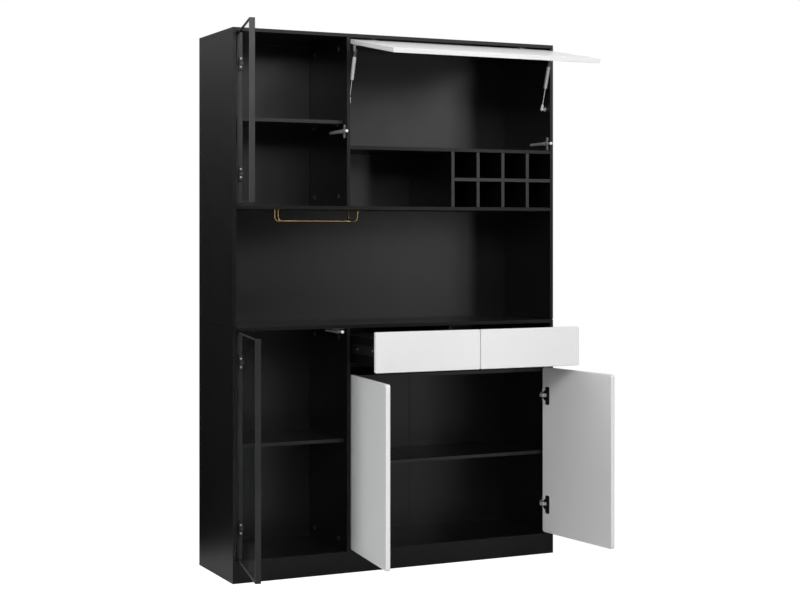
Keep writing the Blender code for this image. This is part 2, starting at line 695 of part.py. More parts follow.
def cup_flange():
    """Returns the rim and the winged flange of a hinge cup, for a closed front."""
    centre, face = cup_centre(), FRONT_THICKNESS - SUNK
    thickness = CUP_FLANGE_THICKNESS + SUNK
    rim = rod((centre, face - SUNK, 0), (0, 1, 0), CUP_RIM_RADIUS, thickness + SUNK + CUP_RIM_RISE, CUP_SIDES)
    half, wing, corner = CUP_FLANGE_HEIGHT / 2, CUP_FLANGE_WIDTH / 2, CUP_FLANGE_CORNER
    line = centre + CUP_FLANGE_SHIFT
    outline = [(line - wing, corner - half), (line - wing + corner, -half), (line + wing - corner, -half),
               (line + wing, corner - half), (line + wing, half - corner), (line + wing - corner, half),
               (line - wing + corner, half), (line - wing, half - corner)]
    return fuse(outline_solid(outline, face, face + thickness, "XZ"), rim)


def cup_hollow():
    """Returns the space inside a hinge cup, with the slot for the arm."""
    centre, floor = cup_centre(), FRONT_THICKNESS - CUP_BORE_DEPTH + CUP_WALL
    mouth = FRONT_THICKNESS + CUP_FLANGE_THICKNESS + OVERRUN
    hollow = rod((centre, floor, 0), (0, 1, 0), CUP_BORE_RADIUS - CUP_WALL, mouth - floor, CUP_SIDES)
    slot = ARM_HEIGHT / 2 + ARM_SLOT_PLAY
    notch = box((DOOR_GAP + CUP_EDGE_DISTANCE, CUP_AXIS_DEPTH, -slot), (centre, mouth, slot))
    return fuse(hollow, notch)


def cup_pin():
    """Returns the pin across a hinge cup."""
    across = cup_centre() - CUP_AXIS_OFFSET
    reach = math.sqrt((CUP_BORE_RADIUS - CUP_WALL / 2) ** 2 - across ** 2)
    return rod((CUP_AXIS_OFFSET, CUP_AXIS_DEPTH, -reach), (0, 0, 1), HINGE_PIN_RADIUS, 2 * reach)


def shoe_span():
    """Returns where a hinge shoe starts and ends across and behind a glass door."""
    low = DOOR_GAP + GLASS_FRAME_FACE - SUNK
    front = GLASS_SETBACK + GLASS_THICKNESS + SEAT
    return low, low + SHOE_LENGTH, front, GLASS_DOOR_THICKNESS - SHOE_BACK_SETBACK


def shoe_block():
    """Returns the block of a hinge shoe inside a glass door's frame."""
    low, high, front, back = shoe_span()
    return box((low, front, -SHOE_HEIGHT / 2), (high, back, SHOE_HEIGHT / 2))


def shoe_slot():
    """Returns the space for the arm in a hinge shoe."""
    low, high, front, back = shoe_span()
    slot = ARM_HEIGHT / 2 + ARM_SLOT_PLAY
    return box((low + 2 * SUNK, front + SHOE_WEB, -slot), (high + OVERRUN, back + OVERRUN, slot))


def shoe_pin():
    """Returns the pin across a hinge shoe's slot."""
    reach = ARM_HEIGHT / 2 + ARM_SLOT_PLAY + SHOE_PIN_ROOT
    return rod((SHOE_AXIS_OFFSET, SHOE_AXIS_DEPTH, -reach), (0, 0, 1), HINGE_PIN_RADIUS, 2 * reach)


def wall_matrix(wall_x, way, height):
    """Returns the matrix from the hinge frame to an upright board's face."""
    return Matrix(((way, 0, 0, wall_x), (0, 1, 0, FRONT), (0, 0, way, height), (0, 0, 0, 1)))


def ceiling_matrix(place_x):
    """Returns the matrix from the hinge frame to the top panel's underside."""
    return Matrix(((0, 0, 1, place_x), (0, 1, 0, FRONT), (-1, 0, 0, TOP_UNDERSIDE), (0, 0, 0, 1)))


def pivot_place(wall_x, way, offset, depth):
    """Returns the place of an upright hinge axis."""
    return Vector((wall_x + way * offset, FRONT + depth, 0.0))


def placed(mesh, matrices, pivot):
    """Returns copies of a mesh at each matrix, given from a pivot."""
    return [join([mesh], [Matrix.Translation(-pivot) @ matrix]) for matrix in matrices]


def relative(mesh, pivot):
    """Returns a mesh given from its pivot."""
    return join([mesh], [Matrix.Translation(-pivot)])


def door_span(z_low, z_high):
    """Returns the two hinge heights of a door."""
    return (z_low + HINGE_END_DISTANCE, z_high - HINGE_END_DISTANCE)


def add_hinge_arms(names, mesh, matrices):
    """Adds the fixed half of each hinge of a front."""
    for name, matrix in zip(names, matrices):
        arm = add_object(name + "_hinge_arm", join([mesh]), "steel", smooth=True)
        arm.matrix_world = matrix


def build_white_front(name, low, high, matrices, parent, pivot, fixtures=()):
    """Builds a white front with rounded edges and its hinge cups."""
    front = add_object(name, relative(box(low, high), pivot), "white_board", parent, smooth=True)
    soften(front, FRONT_ROUNDING, FRONT_ROUNDING_STEPS)
    change_with(front, "UNION", placed(cup_flange(), matrices, pivot) + list(fixtures))
    change_with(front, "DIFFERENCE", placed(cup_hollow(), matrices, pivot))
    change_with(front, "UNION", placed(cup_pin(), matrices, pivot))


def build_white_doors():
    """Builds the pair of white doors below the drawers."""
    width = (INNER_RIGHT - DIVIDER_RIGHT - 2 * DOOR_GAP - PAIR_GAP) / 2
    z_low, z_high = BOTTOM_TOP + DOOR_GAP, DOOR_TOP
    arm = make_hinge(CUP_AXIS_OFFSET, CUP_AXIS_DEPTH, CUP_ARM_LEAN_DEG, CUP_ARM_NOSE,
                     CUP_ARM_ELBOW_OFFSET, CUP_ARM_ELBOW_DEPTH)
    doors = (("left_door", DIVIDER_RIGHT, 1, LEFT_DOOR_OPEN_DEG), ("right_door", INNER_RIGHT, -1, RIGHT_DOOR_OPEN_DEG))
    for name, wall_x, way, open_deg in doors:
        pivot = pivot_place(wall_x, way, CUP_AXIS_OFFSET, CUP_AXIS_DEPTH)
        parent = add_pivot(name + "_pivot", pivot, "Z", -way * open_deg)
        ends = sorted((wall_x + way * DOOR_GAP, wall_x + way * (DOOR_GAP + width)))
        matrices = [wall_matrix(wall_x, way, height) for height in door_span(z_low, z_high)]
        build_white_front(name, (ends[0], FRONT, z_low), (ends[1], FRONT + FRONT_THICKNESS, z_high),
                          matrices, parent, pivot)
        add_hinge_arms((name + "_lower", name + "_upper"), arm, matrices)


def flap_pivot():
    """Returns the place of the flap's hinge axis."""
    return Vector((0.0, FRONT + CUP_AXIS_DEPTH, TOP_UNDERSIDE - CUP_AXIS_OFFSET))


def build_flap():
    """Builds the lift-up flap with its cups and the brackets of its struts."""
    pivot = flap_pivot()
    parent = add_pivot("flap_pivot", pivot, "X", -FLAP_OPEN_DEG)
    ends = (DIVIDER_RIGHT + DOOR_GAP, INNER_RIGHT - DOOR_GAP)
    places = (DIVIDER_RIGHT + HINGE_END_DISTANCE, INNER_RIGHT - HINGE_END_DISTANCE)
    matrices = [ceiling_matrix(place) for place in places]
    brackets = [flap_bracket(x, way) for x, way in ((STRUT_LEFT_X, -1), (STRUT_RIGHT_X, 1))]
    build_white_front("flap", (ends[0], FRONT, FLAP_SHELF_TOP + DOOR_GAP),
                      (ends[1], FRONT + FRONT_THICKNESS, TOP_UNDERSIDE - DOOR_GAP), matrices, parent, pivot, brackets)
    arm = make_hinge(CUP_AXIS_OFFSET, CUP_AXIS_DEPTH, CUP_ARM_LEAN_DEG, CUP_ARM_NOSE,
                     CUP_ARM_ELBOW_OFFSET, CUP_ARM_ELBOW_DEPTH)
    add_hinge_arms(("flap_left", "flap_right"), arm, matrices)


def strut_on_flap():
    """Returns the strut's pivot on the closed flap, from the flap's axis."""
    open_place = Vector((0.0, FRONT - STRUT_FLAP_DEPTH, TOP_UNDERSIDE - STRUT_FLAP_DROP)) - flap_pivot()
    return Matrix.Rotation(math.radians(FLAP_OPEN_DEG), 3, "X") @ open_place


def flap_bracket(centre_x, way):
    """Returns one bracket: a plate on the flap, an ear and a stud for the strut."""
    place = strut_on_flap()
    face = FRONT + FRONT_THICKNESS - flap_pivot()[1] - SUNK
    half = FLAP_BRACKET_LENGTH / 2
    ear_x = centre_x + way * (EYE_WIDTH / 2 + SEAT)
    ends = sorted((ear_x, ear_x + way * FLAP_BRACKET_WEB))
    plate_ends = sorted((ear_x + way * FLAP_BRACKET_WEB, ear_x - way * FLAP_BRACKET_WIDTH))
    plate = box((plate_ends[0], face, place[2] - half),
                (plate_ends[1], face + BRACKET_PLATE_THICKNESS, place[2] + half))
    ear = rod((ends[0], place[1], place[2]), (1, 0, 0), FLAP_BRACKET_EAR_RADIUS, FLAP_BRACKET_WEB)
    web = box((ends[0] + SUNK, face + BRACKET_PLATE_THICKNESS / 2, place[2] - FLAP_BRACKET_EAR_RADIUS + SUNK),
              (ends[1] - SUNK, place[1], place[2] + FLAP_BRACKET_EAR_RADIUS - SUNK))
    stud_length = EYE_WIDTH + SEAT + STUD_OVERHANG + FLAP_BRACKET_WEB / 2
    stud = rod((ear_x + way * FLAP_BRACKET_WEB / 2, place[1], place[2]), (-way, 0, 0), STUD_RADIUS, stud_length)
    return fuse(plate, web, ear, stud)


def strut_ends():
    """Returns the wall pivot and the flap pivot of a strut at rest."""
    wall = Vector((0.0, FRONT + STRUT_WALL_DEPTH, TOP_UNDERSIDE - STRUT_WALL_DROP))
    flap_end = Vector((0.0, FRONT - STRUT_FLAP_DEPTH, TOP_UNDERSIDE - STRUT_FLAP_DROP))
    return wall, flap_end


def make_strut_rod(top):
    """Returns the rod of a strut, upright from the socket at its foot."""
    half = EYE_WIDTH / 2
    bar = rod((0, 0, EYE_BORE_RADIUS), (0, 0, 1), ROD_RADIUS, top - EYE_BORE_RADIUS)
    socket = rod((-half, 0, 0), (1, 0, 0), EYE_RADIUS, EYE_WIDTH)
    bore = rod((-half - OVERRUN, 0, 0), (1, 0, 0), EYE_BORE_RADIUS, EYE_WIDTH + 2 * OVERRUN)
    return carve(fuse(socket, bar), bore)


def make_strut_cylinder():
    """Returns the cylinder of a strut, hanging from the socket at its head."""
    half = EYE_WIDTH / 2
    shoulder = CYLINDER_START + CYLINDER_RADIUS - NECK_RADIUS
    body = turned([(NECK_RADIUS, EYE_BORE_RADIUS), (NECK_RADIUS, CYLINDER_START), (CYLINDER_RADIUS, shoulder),
                   (CYLINDER_RADIUS, CYLINDER_START + CYLINDER_LENGTH)], (0, 0, 0), (0, 0, -1))
    socket = rod((-half, 0, 0), (1, 0, 0), EYE_RADIUS, EYE_WIDTH)
    bore = rod((-half - OVERRUN, 0, 0), (1, 0, 0), EYE_BORE_RADIUS, EYE_WIDTH + 2 * OVERRUN)
    hollow = rod((0, 0, -CYLINDER_START - CYLINDER_FLOOR), (0, 0, -1),
                 CYLINDER_RADIUS - CYLINDER_WALL, CYLINDER_LENGTH)
    return carve(fuse(body, socket), bore, hollow)


def build_struts():
    """Builds the gas struts: wall brackets, rods and cylinders."""
    wall, flap_end = strut_ends()
    length = (flap_end - wall).length
    lean = math.degrees(math.atan2(wall[1] - flap_end[1], flap_end[2] - wall[2]))
    bar = make_strut_rod(length - CYLINDER_START - CYLINDER_LENGTH + ROD_INSERTION)
    cylinder = make_strut_cylinder()
    for side, centre_x, wall_x, way in (("left", STRUT_LEFT_X, DIVIDER_RIGHT, 1),
                                        ("right", STRUT_RIGHT_X, INNER_RIGHT, -1)):
        across = Vector((centre_x, 0.0, 0.0))
        rod_pivot = add_pivot(side + "_strut_rod_pivot", wall + across, "X", lean)
        cylinder_pivot = add_pivot(side + "_strut_cylinder_pivot", flap_end + across, "X", lean)
        add_object(side + "_strut_rod", bar, "steel", rod_pivot, smooth=True)
        add_object(side + "_strut_cylinder", cylinder, "zinc", cylinder_pivot, smooth=True)
        base_x = wall_x + way * SEAT
        reach = abs(centre_x - base_x) + EYE_WIDTH / 2 + STUD_OVERHANG - BRACKET_PLATE_THICKNESS / 2
        plate = rod((base_x, wall[1], wall[2]), (way, 0, 0), BRACKET_PLATE_RADIUS, BRACKET_PLATE_THICKNESS)
        stud = rod((base_x + way * BRACKET_PLATE_THICKNESS / 2, wall[1], wall[2]), (way, 0, 0), STUD_RADIUS, reach)
        add_object(side + "_strut_wall_bracket", fuse(plate, stud), "steel", smooth=True)


def build_glass_door(name, z_low, z_high, open_deg):
    """Builds a slim-framed glass door with its hinge shoes and arms."""
    pivot = pivot_place(INNER_LEFT, 1, SHOE_AXIS_OFFSET, SHOE_AXIS_DEPTH)
    parent = add_pivot(name + "_pivot", pivot, "Z", -open_deg)
    matrices = [wall_matrix(INNER_LEFT, 1, height) for height in door_span(z_low, z_high)]
    x_low, x_high = INNER_LEFT + DOOR_GAP, DIVIDER_LEFT - DOOR_GAP
    back = FRONT + GLASS_DOOR_THICKNESS
    face, groove = GLASS_FRAME_FACE, GLASS_FRAME_FACE - GLASS_GROOVE
    outer = box((x_low, FRONT, z_low), (x_high, back, z_high))
    window = box((x_low + face, FRONT - OVERRUN, z_low + face), (x_high - face, back + OVERRUN, z_high - face))
    slot_front, slot_rear = FRONT + GLASS_SETBACK, FRONT + GLASS_SETBACK + GLASS_THICKNESS
    slot = box((x_low + groove, slot_front, z_low + groove), (x_high - groove, slot_rear, z_high - groove))
    frame = add_object(name + "_frame", relative(outer, pivot), "black_metal", parent)
    soften(frame, GLASS_FRAME_EDGE)
    change_with(frame, "DIFFERENCE", [relative(fuse(window, slot), pivot)])
    change_with(frame, "UNION", placed(shoe_block(), matrices, pivot))
    change_with(frame, "DIFFERENCE", placed(shoe_slot(), matrices, pivot))
    change_with(frame, "UNION", placed(shoe_pin(), matrices, pivot))
    pane = box((x_low + groove + SEAT, slot_front + SEAT, z_low + groove + SEAT),
               (x_high - groove - SEAT, slot_rear - SEAT, z_high - groove - SEAT))
    add_object(name + "_pane", relative(pane, pivot), "glass", parent)
    arm = make_hinge(SHOE_AXIS_OFFSET, SHOE_AXIS_DEPTH, SHOE_ARM_LEAN_DEG, SHOE_ARM_NOSE,
                     SHOE_ARM_ELBOW_OFFSET, SHOE_ARM_ELBOW_DEPTH)
    add_hinge_arms((name + "_lower", name + "_upper"), arm, matrices)


def make_latch_housing(offset):
    """Returns a latch housing along +Y from its mouth, on a board at -Z."""
    body = rod((0, 0, 0), (0, 1, 0), LATCH_BODY_RADIUS, LATCH_BODY_LENGTH)
    near = LATCH_CROSS_DEPTH - LATCH_MOUTH_DEPTH
    half, rib_half = LATCH_CROSS_HEIGHT / 2, LATCH_RIB_WIDTH / 2
    seat = SEAT - offset
    plate = box((-half, near, seat), (half, near + LATCH_CROSS_WIDTH, seat + LATCH_CROSS_THICKNESS))
    rib = box((-rib_half, SEAT, seat + LATCH_CROSS_THICKNESS / 2),
              (rib_half, near + LATCH_CROSS_WIDTH - SEAT, -LATCH_BORE_RADIUS))
    bore = rod((0, -OVERRUN, 0), (0, 1, 0), LATCH_BORE_RADIUS, LATCH_BODY_LENGTH - LATCH_FLOOR + OVERRUN)
    return carve(fuse(body, plate, rib), bore)


def make_plunger():
    """Returns a latch plunger along +Y from the front of its tip."""
    collar_start = LATCH_ROD_LENGTH - LATCH_COLLAR_LENGTH
    return turned([(LATCH_TIP_RADIUS - LATCH_TIP_ROUNDING, 0.0), (LATCH_TIP_RADIUS, LATCH_TIP_ROUNDING),
                   (LATCH_TIP_RADIUS, LATCH_TIP_LENGTH), (LATCH_ROD_RADIUS, LATCH_TIP_LENGTH),
                   (LATCH_ROD_RADIUS, collar_start), (LATCH_COLLAR_RADIUS, collar_start),
                   (LATCH_COLLAR_RADIUS, LATCH_ROD_LENGTH)], (0, 0, 0), (0, 1, 0))


def build_latches():
    """Builds the push latches that hold the glass doors and the flap."""
    upright = Matrix.Rotation(math.radians(-90), 4, "Y")
    hanging = Matrix.Rotation(math.radians(180), 4, "Y")
    latches = (
        ("upper", DIVIDER_LEFT - LATCH_OFFSET, UPPER_LEFT_SHELF_HEIGHT - UPPER_LATCH_DROP,
         LATCH_OFFSET, upright, GLASS_DOOR_THICKNESS),
        ("lower", DIVIDER_LEFT - LOWER_LATCH_SIDE_OFFSET, COUNTERTOP_UNDERSIDE - LOWER_LATCH_OFFSET,
         LOWER_LATCH_OFFSET, hanging, GLASS_DOOR_THICKNESS),
        ("flap", INNER_RIGHT - LATCH_OFFSET, FLAP_SHELF_TOP + FLAP_LATCH_RISE,
         LATCH_OFFSET, upright, FRONT_THICKNESS),
    )
    plunger = make_plunger()
    for name, x, z, offset, turn, front_thickness in latches:
        housing = add_object(name + "_latch_housing", make_latch_housing(offset), "grey_plastic", smooth=True)
        housing.matrix_world = Matrix.Translation((x, FRONT + LATCH_MOUTH_DEPTH, z)) @ turn
        tip_y = FRONT + front_thickness + LATCH_TOUCH_GAP - LATCH_TRAVEL
        parent = add_pivot(name + "_latch_plunger_pivot", (x, tip_y, z))
        add_object(name + "_latch_plunger", join([plunger]), "white_plastic", parent, smooth=True)


def channel(wall_x, way, depth, height, y_low, y_high):
    """Returns a C-shaped channel that is fixed to a wall and opens away from it."""
    back, near, far = wall_x - way * SUNK, wall_x + way * SLIDE_SHEET, wall_x + way * depth
    half, inner = height / 2, height / 2 - SLIDE_SHEET
    outline = [(back, -half), (far, -half), (far, -inner), (near, -inner),
               (near, inner), (far, inner), (far, half), (back, half)]
    return outline_solid([(x, slide_height() + z) for x, z in outline], y_low, y_high, "XZ")


def slide_height():
    """Returns the height of the drawer slides' middle."""
    return DRAWER_BOTTOM + DRAWER_BOX_RISE + SLIDE_CENTRE_RISE


def cabinet_slide(wall_x, way):
    """Returns the outer member of a drawer slide on a wall of the cabinet."""
    return channel(wall_x, way, SLIDE_DEPTH, SLIDE_HEIGHT, SLIDE_START, SLIDE_START + SLIDE_LENGTH)


def build_drawers():
    """Builds both drawers, pulled out, with the inner members of their slides."""
    z_low, z_high = DRAWER_BOTTOM, DRAWER_TOP
    box_low = z_low + DRAWER_BOX_RISE
    box_high = z_high - DRAWER_BOX_DROP
    start = FRONT + FRONT_THICKNESS
    y_low, y_high = start + SEAT, start + SLIDE_LENGTH
    inner_height = SLIDE_HEIGHT - 2 * SLIDE_SHEET - 2 * SLIDE_PLAY
    half_gap = PAIR_GAP / 2
    bays = (("left", DIVIDER_RIGHT, PARTITION_LEFT, DIVIDER_RIGHT + DOOR_GAP, RIGHT_BAY_MIDDLE - half_gap),
            ("right", PARTITION_RIGHT, INNER_RIGHT, RIGHT_BAY_MIDDLE + half_gap, INNER_RIGHT - DOOR_GAP))
    for side, bay_low, bay_high, front_low, front_high in bays:
        parent = add_pivot(side + "_drawer_pivot", (0, -DRAWER_PULLED, 0))
        front = add_object(side + "_drawer_front", box((front_low, FRONT, z_low), (front_high, start, z_high)),
                           "white_board", parent, smooth=True)
        soften(front, FRONT_ROUNDING, FRONT_ROUNDING_STEPS)
        x_low, x_high = bay_low + DRAWER_SIDE_CLEARANCE, bay_high - DRAWER_SIDE_CLEARANCE
        tray = add_object(side + "_drawer_box", box((x_low, y_low, box_low), (x_high, y_high, box_high)),
                          "black_board", parent)
        floor_low = box_low + DRAWER_FLOOR_RISE
        floor_high = floor_low + DRAWER_FLOOR_THICKNESS
        inside = [box((x_low + BOARD, y_low - OVERRUN, floor_high), (x_high - BOARD, y_high - BOARD, box_high + OVERRUN)),
                  box((x_low + BOARD, y_low - OVERRUN, box_low - OVERRUN), (x_high - BOARD, y_high + OVERRUN, floor_low))]
        change_with(tray, "DIFFERENCE", inside)
        members = [channel(wall_x, way, SLIDE_MEMBER_DEPTH, inner_height, y_low + OVERRUN, y_high - OVERRUN)
                   for wall_x, way in ((x_low, -1), (x_high, 1))]
        change_with(tray, "UNION", members)


def main():
    """Builds the whole sideboard."""
    clear_scene()
    build_carcass()
    build_backs()
    build_rack()
    build_shelves()
    build_stemware_rails()
    build_white_doors()
    build_flap()
    build_struts()
    build_glass_door("upper_glass_door", NICHE_SHELF_TOP + DOOR_GAP, TOP_UNDERSIDE - DOOR_GAP, UPPER_GLASS_OPEN_DEG)
    build_glass_door("lower_glass_door", BOTTOM_TOP + DOOR_GAP, COUNTERTOP_UNDERSIDE - DOOR_GAP, LOWER_GLASS_OPEN_DEG)
    build_latches()
    build_drawers()


main()
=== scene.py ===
"""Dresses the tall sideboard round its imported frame.

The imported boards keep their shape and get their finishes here. The white
fronts, glass doors, hinges, gas struts, push latches, drawers, stemware rails
and the boards that carry pins or runners are made again with finer shapes.
Lengths are in metres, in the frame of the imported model: X runs along the
width, the front faces -Y and Z points up from the floor.
"""
import sys

import json
import logging
import math
from dataclasses import dataclass, field
from enum import Enum
from typing import Iterable, Optional, Sequence, Union

import bmesh
import bpy
from mathutils import Matrix, Vector

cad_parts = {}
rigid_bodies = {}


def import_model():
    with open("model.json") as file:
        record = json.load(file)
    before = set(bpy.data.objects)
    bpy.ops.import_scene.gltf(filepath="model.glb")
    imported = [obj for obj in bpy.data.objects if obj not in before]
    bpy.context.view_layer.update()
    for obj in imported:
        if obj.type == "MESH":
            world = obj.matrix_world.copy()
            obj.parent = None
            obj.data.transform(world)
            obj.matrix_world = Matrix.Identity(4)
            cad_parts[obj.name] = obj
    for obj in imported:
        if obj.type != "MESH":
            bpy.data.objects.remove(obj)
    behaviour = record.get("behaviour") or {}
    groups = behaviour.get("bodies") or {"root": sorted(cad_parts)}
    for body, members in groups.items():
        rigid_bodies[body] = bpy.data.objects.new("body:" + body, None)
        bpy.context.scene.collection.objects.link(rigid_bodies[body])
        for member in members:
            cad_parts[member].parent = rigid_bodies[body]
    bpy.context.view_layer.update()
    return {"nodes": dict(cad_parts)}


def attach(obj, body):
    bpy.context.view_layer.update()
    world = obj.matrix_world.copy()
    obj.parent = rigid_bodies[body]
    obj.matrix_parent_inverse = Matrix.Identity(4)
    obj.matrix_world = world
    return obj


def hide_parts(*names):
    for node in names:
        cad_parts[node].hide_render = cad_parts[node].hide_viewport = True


LOG = logging.getLogger("sideboard")
Colour = tuple[float, float, float]
Point = tuple[float, float, float]
Flat = tuple[float, float]
Socket = bpy.types.NodeSocket
Inputs = dict[Union[int, str], object]
ALONG_X, ALONG_Y, ALONG_Z = (1.0, 0.0, 0.0), (0.0, 1.0, 0.0), (0.0, 0.0, 1.0)


class Slot(Enum):
    """The record's material slots."""

    BOARD = "black_board"
    BACK = "black_back"
    WHITE = "white_board"
    FRAME = "black_metal"
    GLASS = "glass"
    STEEL = "steel"
    ZINC = "zinc"
    BRASS = "brass"
    GREY = "grey_plastic"
    TIP = "white_plastic"


class Body(Enum):
    """The bodies that pieces ride on."""

    CABINET = "cabinet"
    UPPER_GLASS = "upper_glass_door"
    LOWER_GLASS = "lower_glass_door"
    LEFT_DOOR = "left_white_door"
    RIGHT_DOOR = "right_white_door"
    FLAP = "lift_flap"
    LEFT_ROD = "left_rod"
    RIGHT_ROD = "right_rod"
    LEFT_CYLINDER = "left_cylinder"
    RIGHT_CYLINDER = "right_cylinder"
    UPPER_PLUNGER = "upper_plunger"
    LOWER_PLUNGER = "lower_plunger"
    FLAP_PLUNGER = "flap_plunger"
    LEFT_DRAWER = "left_drawer"
    RIGHT_DRAWER = "right_drawer"


class Plane(Enum):
    """The plane that a flat outline lies in."""

    XY = "XY"
    XZ = "XZ"
    YZ = "YZ"


# ---------------------------------------------------------------- surfaces


class Nodes:
    """A node tree, with short ways to add and join its nodes."""

    def __init__(self, tree: bpy.types.NodeTree) -> None:
        """Takes the tree to work on."""
        self.tree = tree

    def fill(self, node: bpy.types.Node, inputs: Inputs) -> bpy.types.Node:
        """Sets a node's inputs.

        Args:
            node: The node.
            inputs: Each input's value, or the socket that feeds it.

        Returns:
            The node.
        """
        for key, value in inputs.items():
            if isinstance(value, Socket):
                self.tree.links.new(value, node.inputs[key])
            else:
                node.inputs[key].default_value = value
        return node

    def add(self, kind: str, inputs: Optional[Inputs] = None) -> bpy.types.Node:
        """Adds a node whose type is ShaderNode and the kind."""
        return self.fill(self.tree.nodes.new("ShaderNode" + kind), inputs or {})

    def math(self, operation: str, first: Socket, second: Socket) -> Socket:
        """Joins two values.

        Args:
            operation: Blender's name of the operation.
            first: The first value.
            second: The second value.

        Returns:
            The result.
        """
        node = self.add("Math", {0: first, 1: second})
        node.operation = operation
        return node.outputs["Value"]

    def mix(self, share: Union[float, Socket], first: Socket, second: Socket) -> Socket:
        """Mixes two shaders, of which the second has the given share."""
        return self.add("MixShader", {"Fac": share, 1: first, 2: second}).outputs["Shader"]


class Sheet(Nodes):
    """The node tree of one material, with one Principled shader."""

    def __init__(self, name: str) -> None:
        """Makes an empty material.

        Args:
            name: The material's name.
        """
        self.material = bpy.data.materials.new(name)
        self.material.use_nodes = True
        super().__init__(self.material.node_tree)
        self.shader = self.tree.nodes["Principled BSDF"]
        self.output = self.tree.nodes["Material Output"]
        self.place = self.add("TexCoord").outputs["Object"]

    def noise(self, scale: float, detail: float = 3.0, stretch: Point = (1.0, 1.0, 1.0)) -> Socket:
        """Adds a noise over the piece's own coordinates.

        Args:
            scale: How many blotches there are to a metre.
            detail: How many finer layers are added.
            stretch: The scale along each axis.

        Returns:
            The noise's value.
        """
        mapping = self.add("Mapping", {"Scale": stretch, "Vector": self.place})
        inputs = {"Scale": scale, "Detail": detail, "Vector": mapping.outputs["Vector"]}
        return self.add("TexNoise", inputs).outputs["Fac"]

    def spread(self, value: Socket, low: float, high: float, start: float = 0.3, end: float = 0.7) -> Socket:
        """Maps a value's middle range to new limits.

        Args:
            value: The value that varies.
            low: The result at the start.
            high: The result at the end.
            start: The value that gives low.
            end: The value that gives high.

        Returns:
            The mapped value.
        """
        inputs = {"From Min": start, "From Max": end, "To Min": low, "To Max": high, "Value": value}
        return self.add("MapRange", inputs).outputs["Result"]

    def clouds(self, scale: float, first: Colour, second: Colour) -> Socket:
        """Drifts between two colours in soft blotches.

        Args:
            scale: How many blotches there are to a metre.
            first: The colour between the blotches.
            second: The colour of the blotches.

        Returns:
            The colour.
        """
        node = self.add("Mix")
        node.data_type = "RGBA"
        # The colour sockets share their names with those for floats and vectors.
        ends = [socket for socket in node.inputs if socket.type == "RGBA"]
        for socket, colour in zip(ends, (first, second)):
            socket.default_value = (*colour, 1.0)
        self.fill(node, {"Factor": self.spread(self.noise(scale), 0.0, 1.0)})
        return next(socket for socket in node.outputs if socket.type == "RGBA")

    def relief(self, height: Socket, strength: float, depth: float, under: Optional[Socket] = None) -> Socket:
        """Adds a bump.

        Args:
            height: The height's value.
            strength: The share of the bump.
            depth: The height of the bump, in metres.
            under: The bump that this one lies on.

        Returns:
            The bumped normal.
        """
        node = self.add("Bump", {"Strength": strength, "Distance": depth, "Height": height})
        if under is not None:
            self.fill(node, {"Normal": under})
        return node.outputs["Normal"]


@dataclass(frozen=True)
class Finish:
    """A finish: two close colours, a range of roughness and a fine relief."""

    name: str
    slot: Slot
    first: Colour
    second: Colour
    smooth: float
    rough: float
    metallic: float = 0.0
    specular: float = 0.5
    front_specular: Optional[float] = None
    front_plane: Flat = (-0.1699, -0.1690)
    coat: float = 0.0
    coat_roughness: float = 0.1
    cloud_scale: float = 5.0
    streak_share: float = 8.0
    grain_scale: float = 700.0
    grain_stretch: Point = (1.0, 1.0, 1.0)
    relief: float = 0.15
    relief_depth: float = 0.00005
    wave_scale: float = 30.0
    wave: float = 0.0

    def material(self) -> bpy.types.Material:
        """Returns the finish's material, made once."""
        known = bpy.data.materials.get(self.name)
        return known if known is not None else self.make()

    def make(self) -> bpy.types.Material:
        """Builds the node tree.

        Returns:
            The new material.
        """
        sheet = Sheet(self.name)
        streak = sheet.noise(self.cloud_scale * self.streak_share, 5.0, self.grain_stretch)
        grain = sheet.noise(self.grain_scale, 4.0, self.grain_stretch)
        normal = sheet.relief(grain, self.relief, self.relief_depth)
        if self.wave:
            normal = sheet.relief(sheet.noise(self.wave_scale, 1.0), self.wave, self.relief_depth * 4.0, normal)
        sheet.fill(sheet.shader, {
            "Metallic": self.metallic, "Specular IOR Level": self.specular, "Coat Weight": self.coat,
            "Coat Roughness": self.coat_roughness, "Normal": normal,
            "Base Color": sheet.clouds(self.cloud_scale, self.first, self.second),
            "Roughness": sheet.spread(streak, self.smooth, self.rough)})
        if self.front_specular is not None:
            # The edge bands in the front plane are duller than the boards' faces.
            depth = sheet.add("SeparateXYZ", {"Vector": sheet.place}).outputs["Y"]
            level = sheet.spread(depth, self.front_specular, self.specular, *self.front_plane)
            sheet.fill(sheet.shader, {"Specular IOR Level": level})
        return sheet.material


@dataclass(frozen=True)
class GlassFinish(Finish):
    """Clear float glass that lets lamplight through and mirrors a little."""

    ior: float = 1.45
    body: float = 0.12

    def make(self) -> bpy.types.Material:
        """Builds the node tree.

        Returns:
            The new material.
        """
        sheet = Sheet(self.name)
        smear = sheet.noise(self.wave_scale, 4.0)
        sheet.fill(sheet.shader, {
            "Transmission Weight": 1.0, "IOR": self.ior,
            "Base Color": sheet.clouds(self.cloud_scale, self.first, self.second),
            "Roughness": sheet.spread(smear, self.smooth, self.rough)})
        path, side = sheet.add("LightPath").outputs, sheet.add("NewGeometry").outputs
        clear = sheet.add("BsdfTransparent", {"Color": (*self.second, 1.0)}).outputs["BSDF"]
        leaving = sheet.add("BsdfRefraction", {"IOR": self.ior, "Roughness": 0.0}).outputs["BSDF"]
        # Light bends only where it came in bent, so the pane shows no stray images.
        inner = sheet.mix(path["Is Transmission Ray"], clear, leaving)
        outer = sheet.mix(self.body, clear, sheet.shader.outputs["BSDF"])
        both = sheet.mix(side["Backfacing"], outer, inner)
        sheet.fill(sheet.output, {"Surface": sheet.mix(path["Is Shadow Ray"], both, clear)})
        return sheet.material


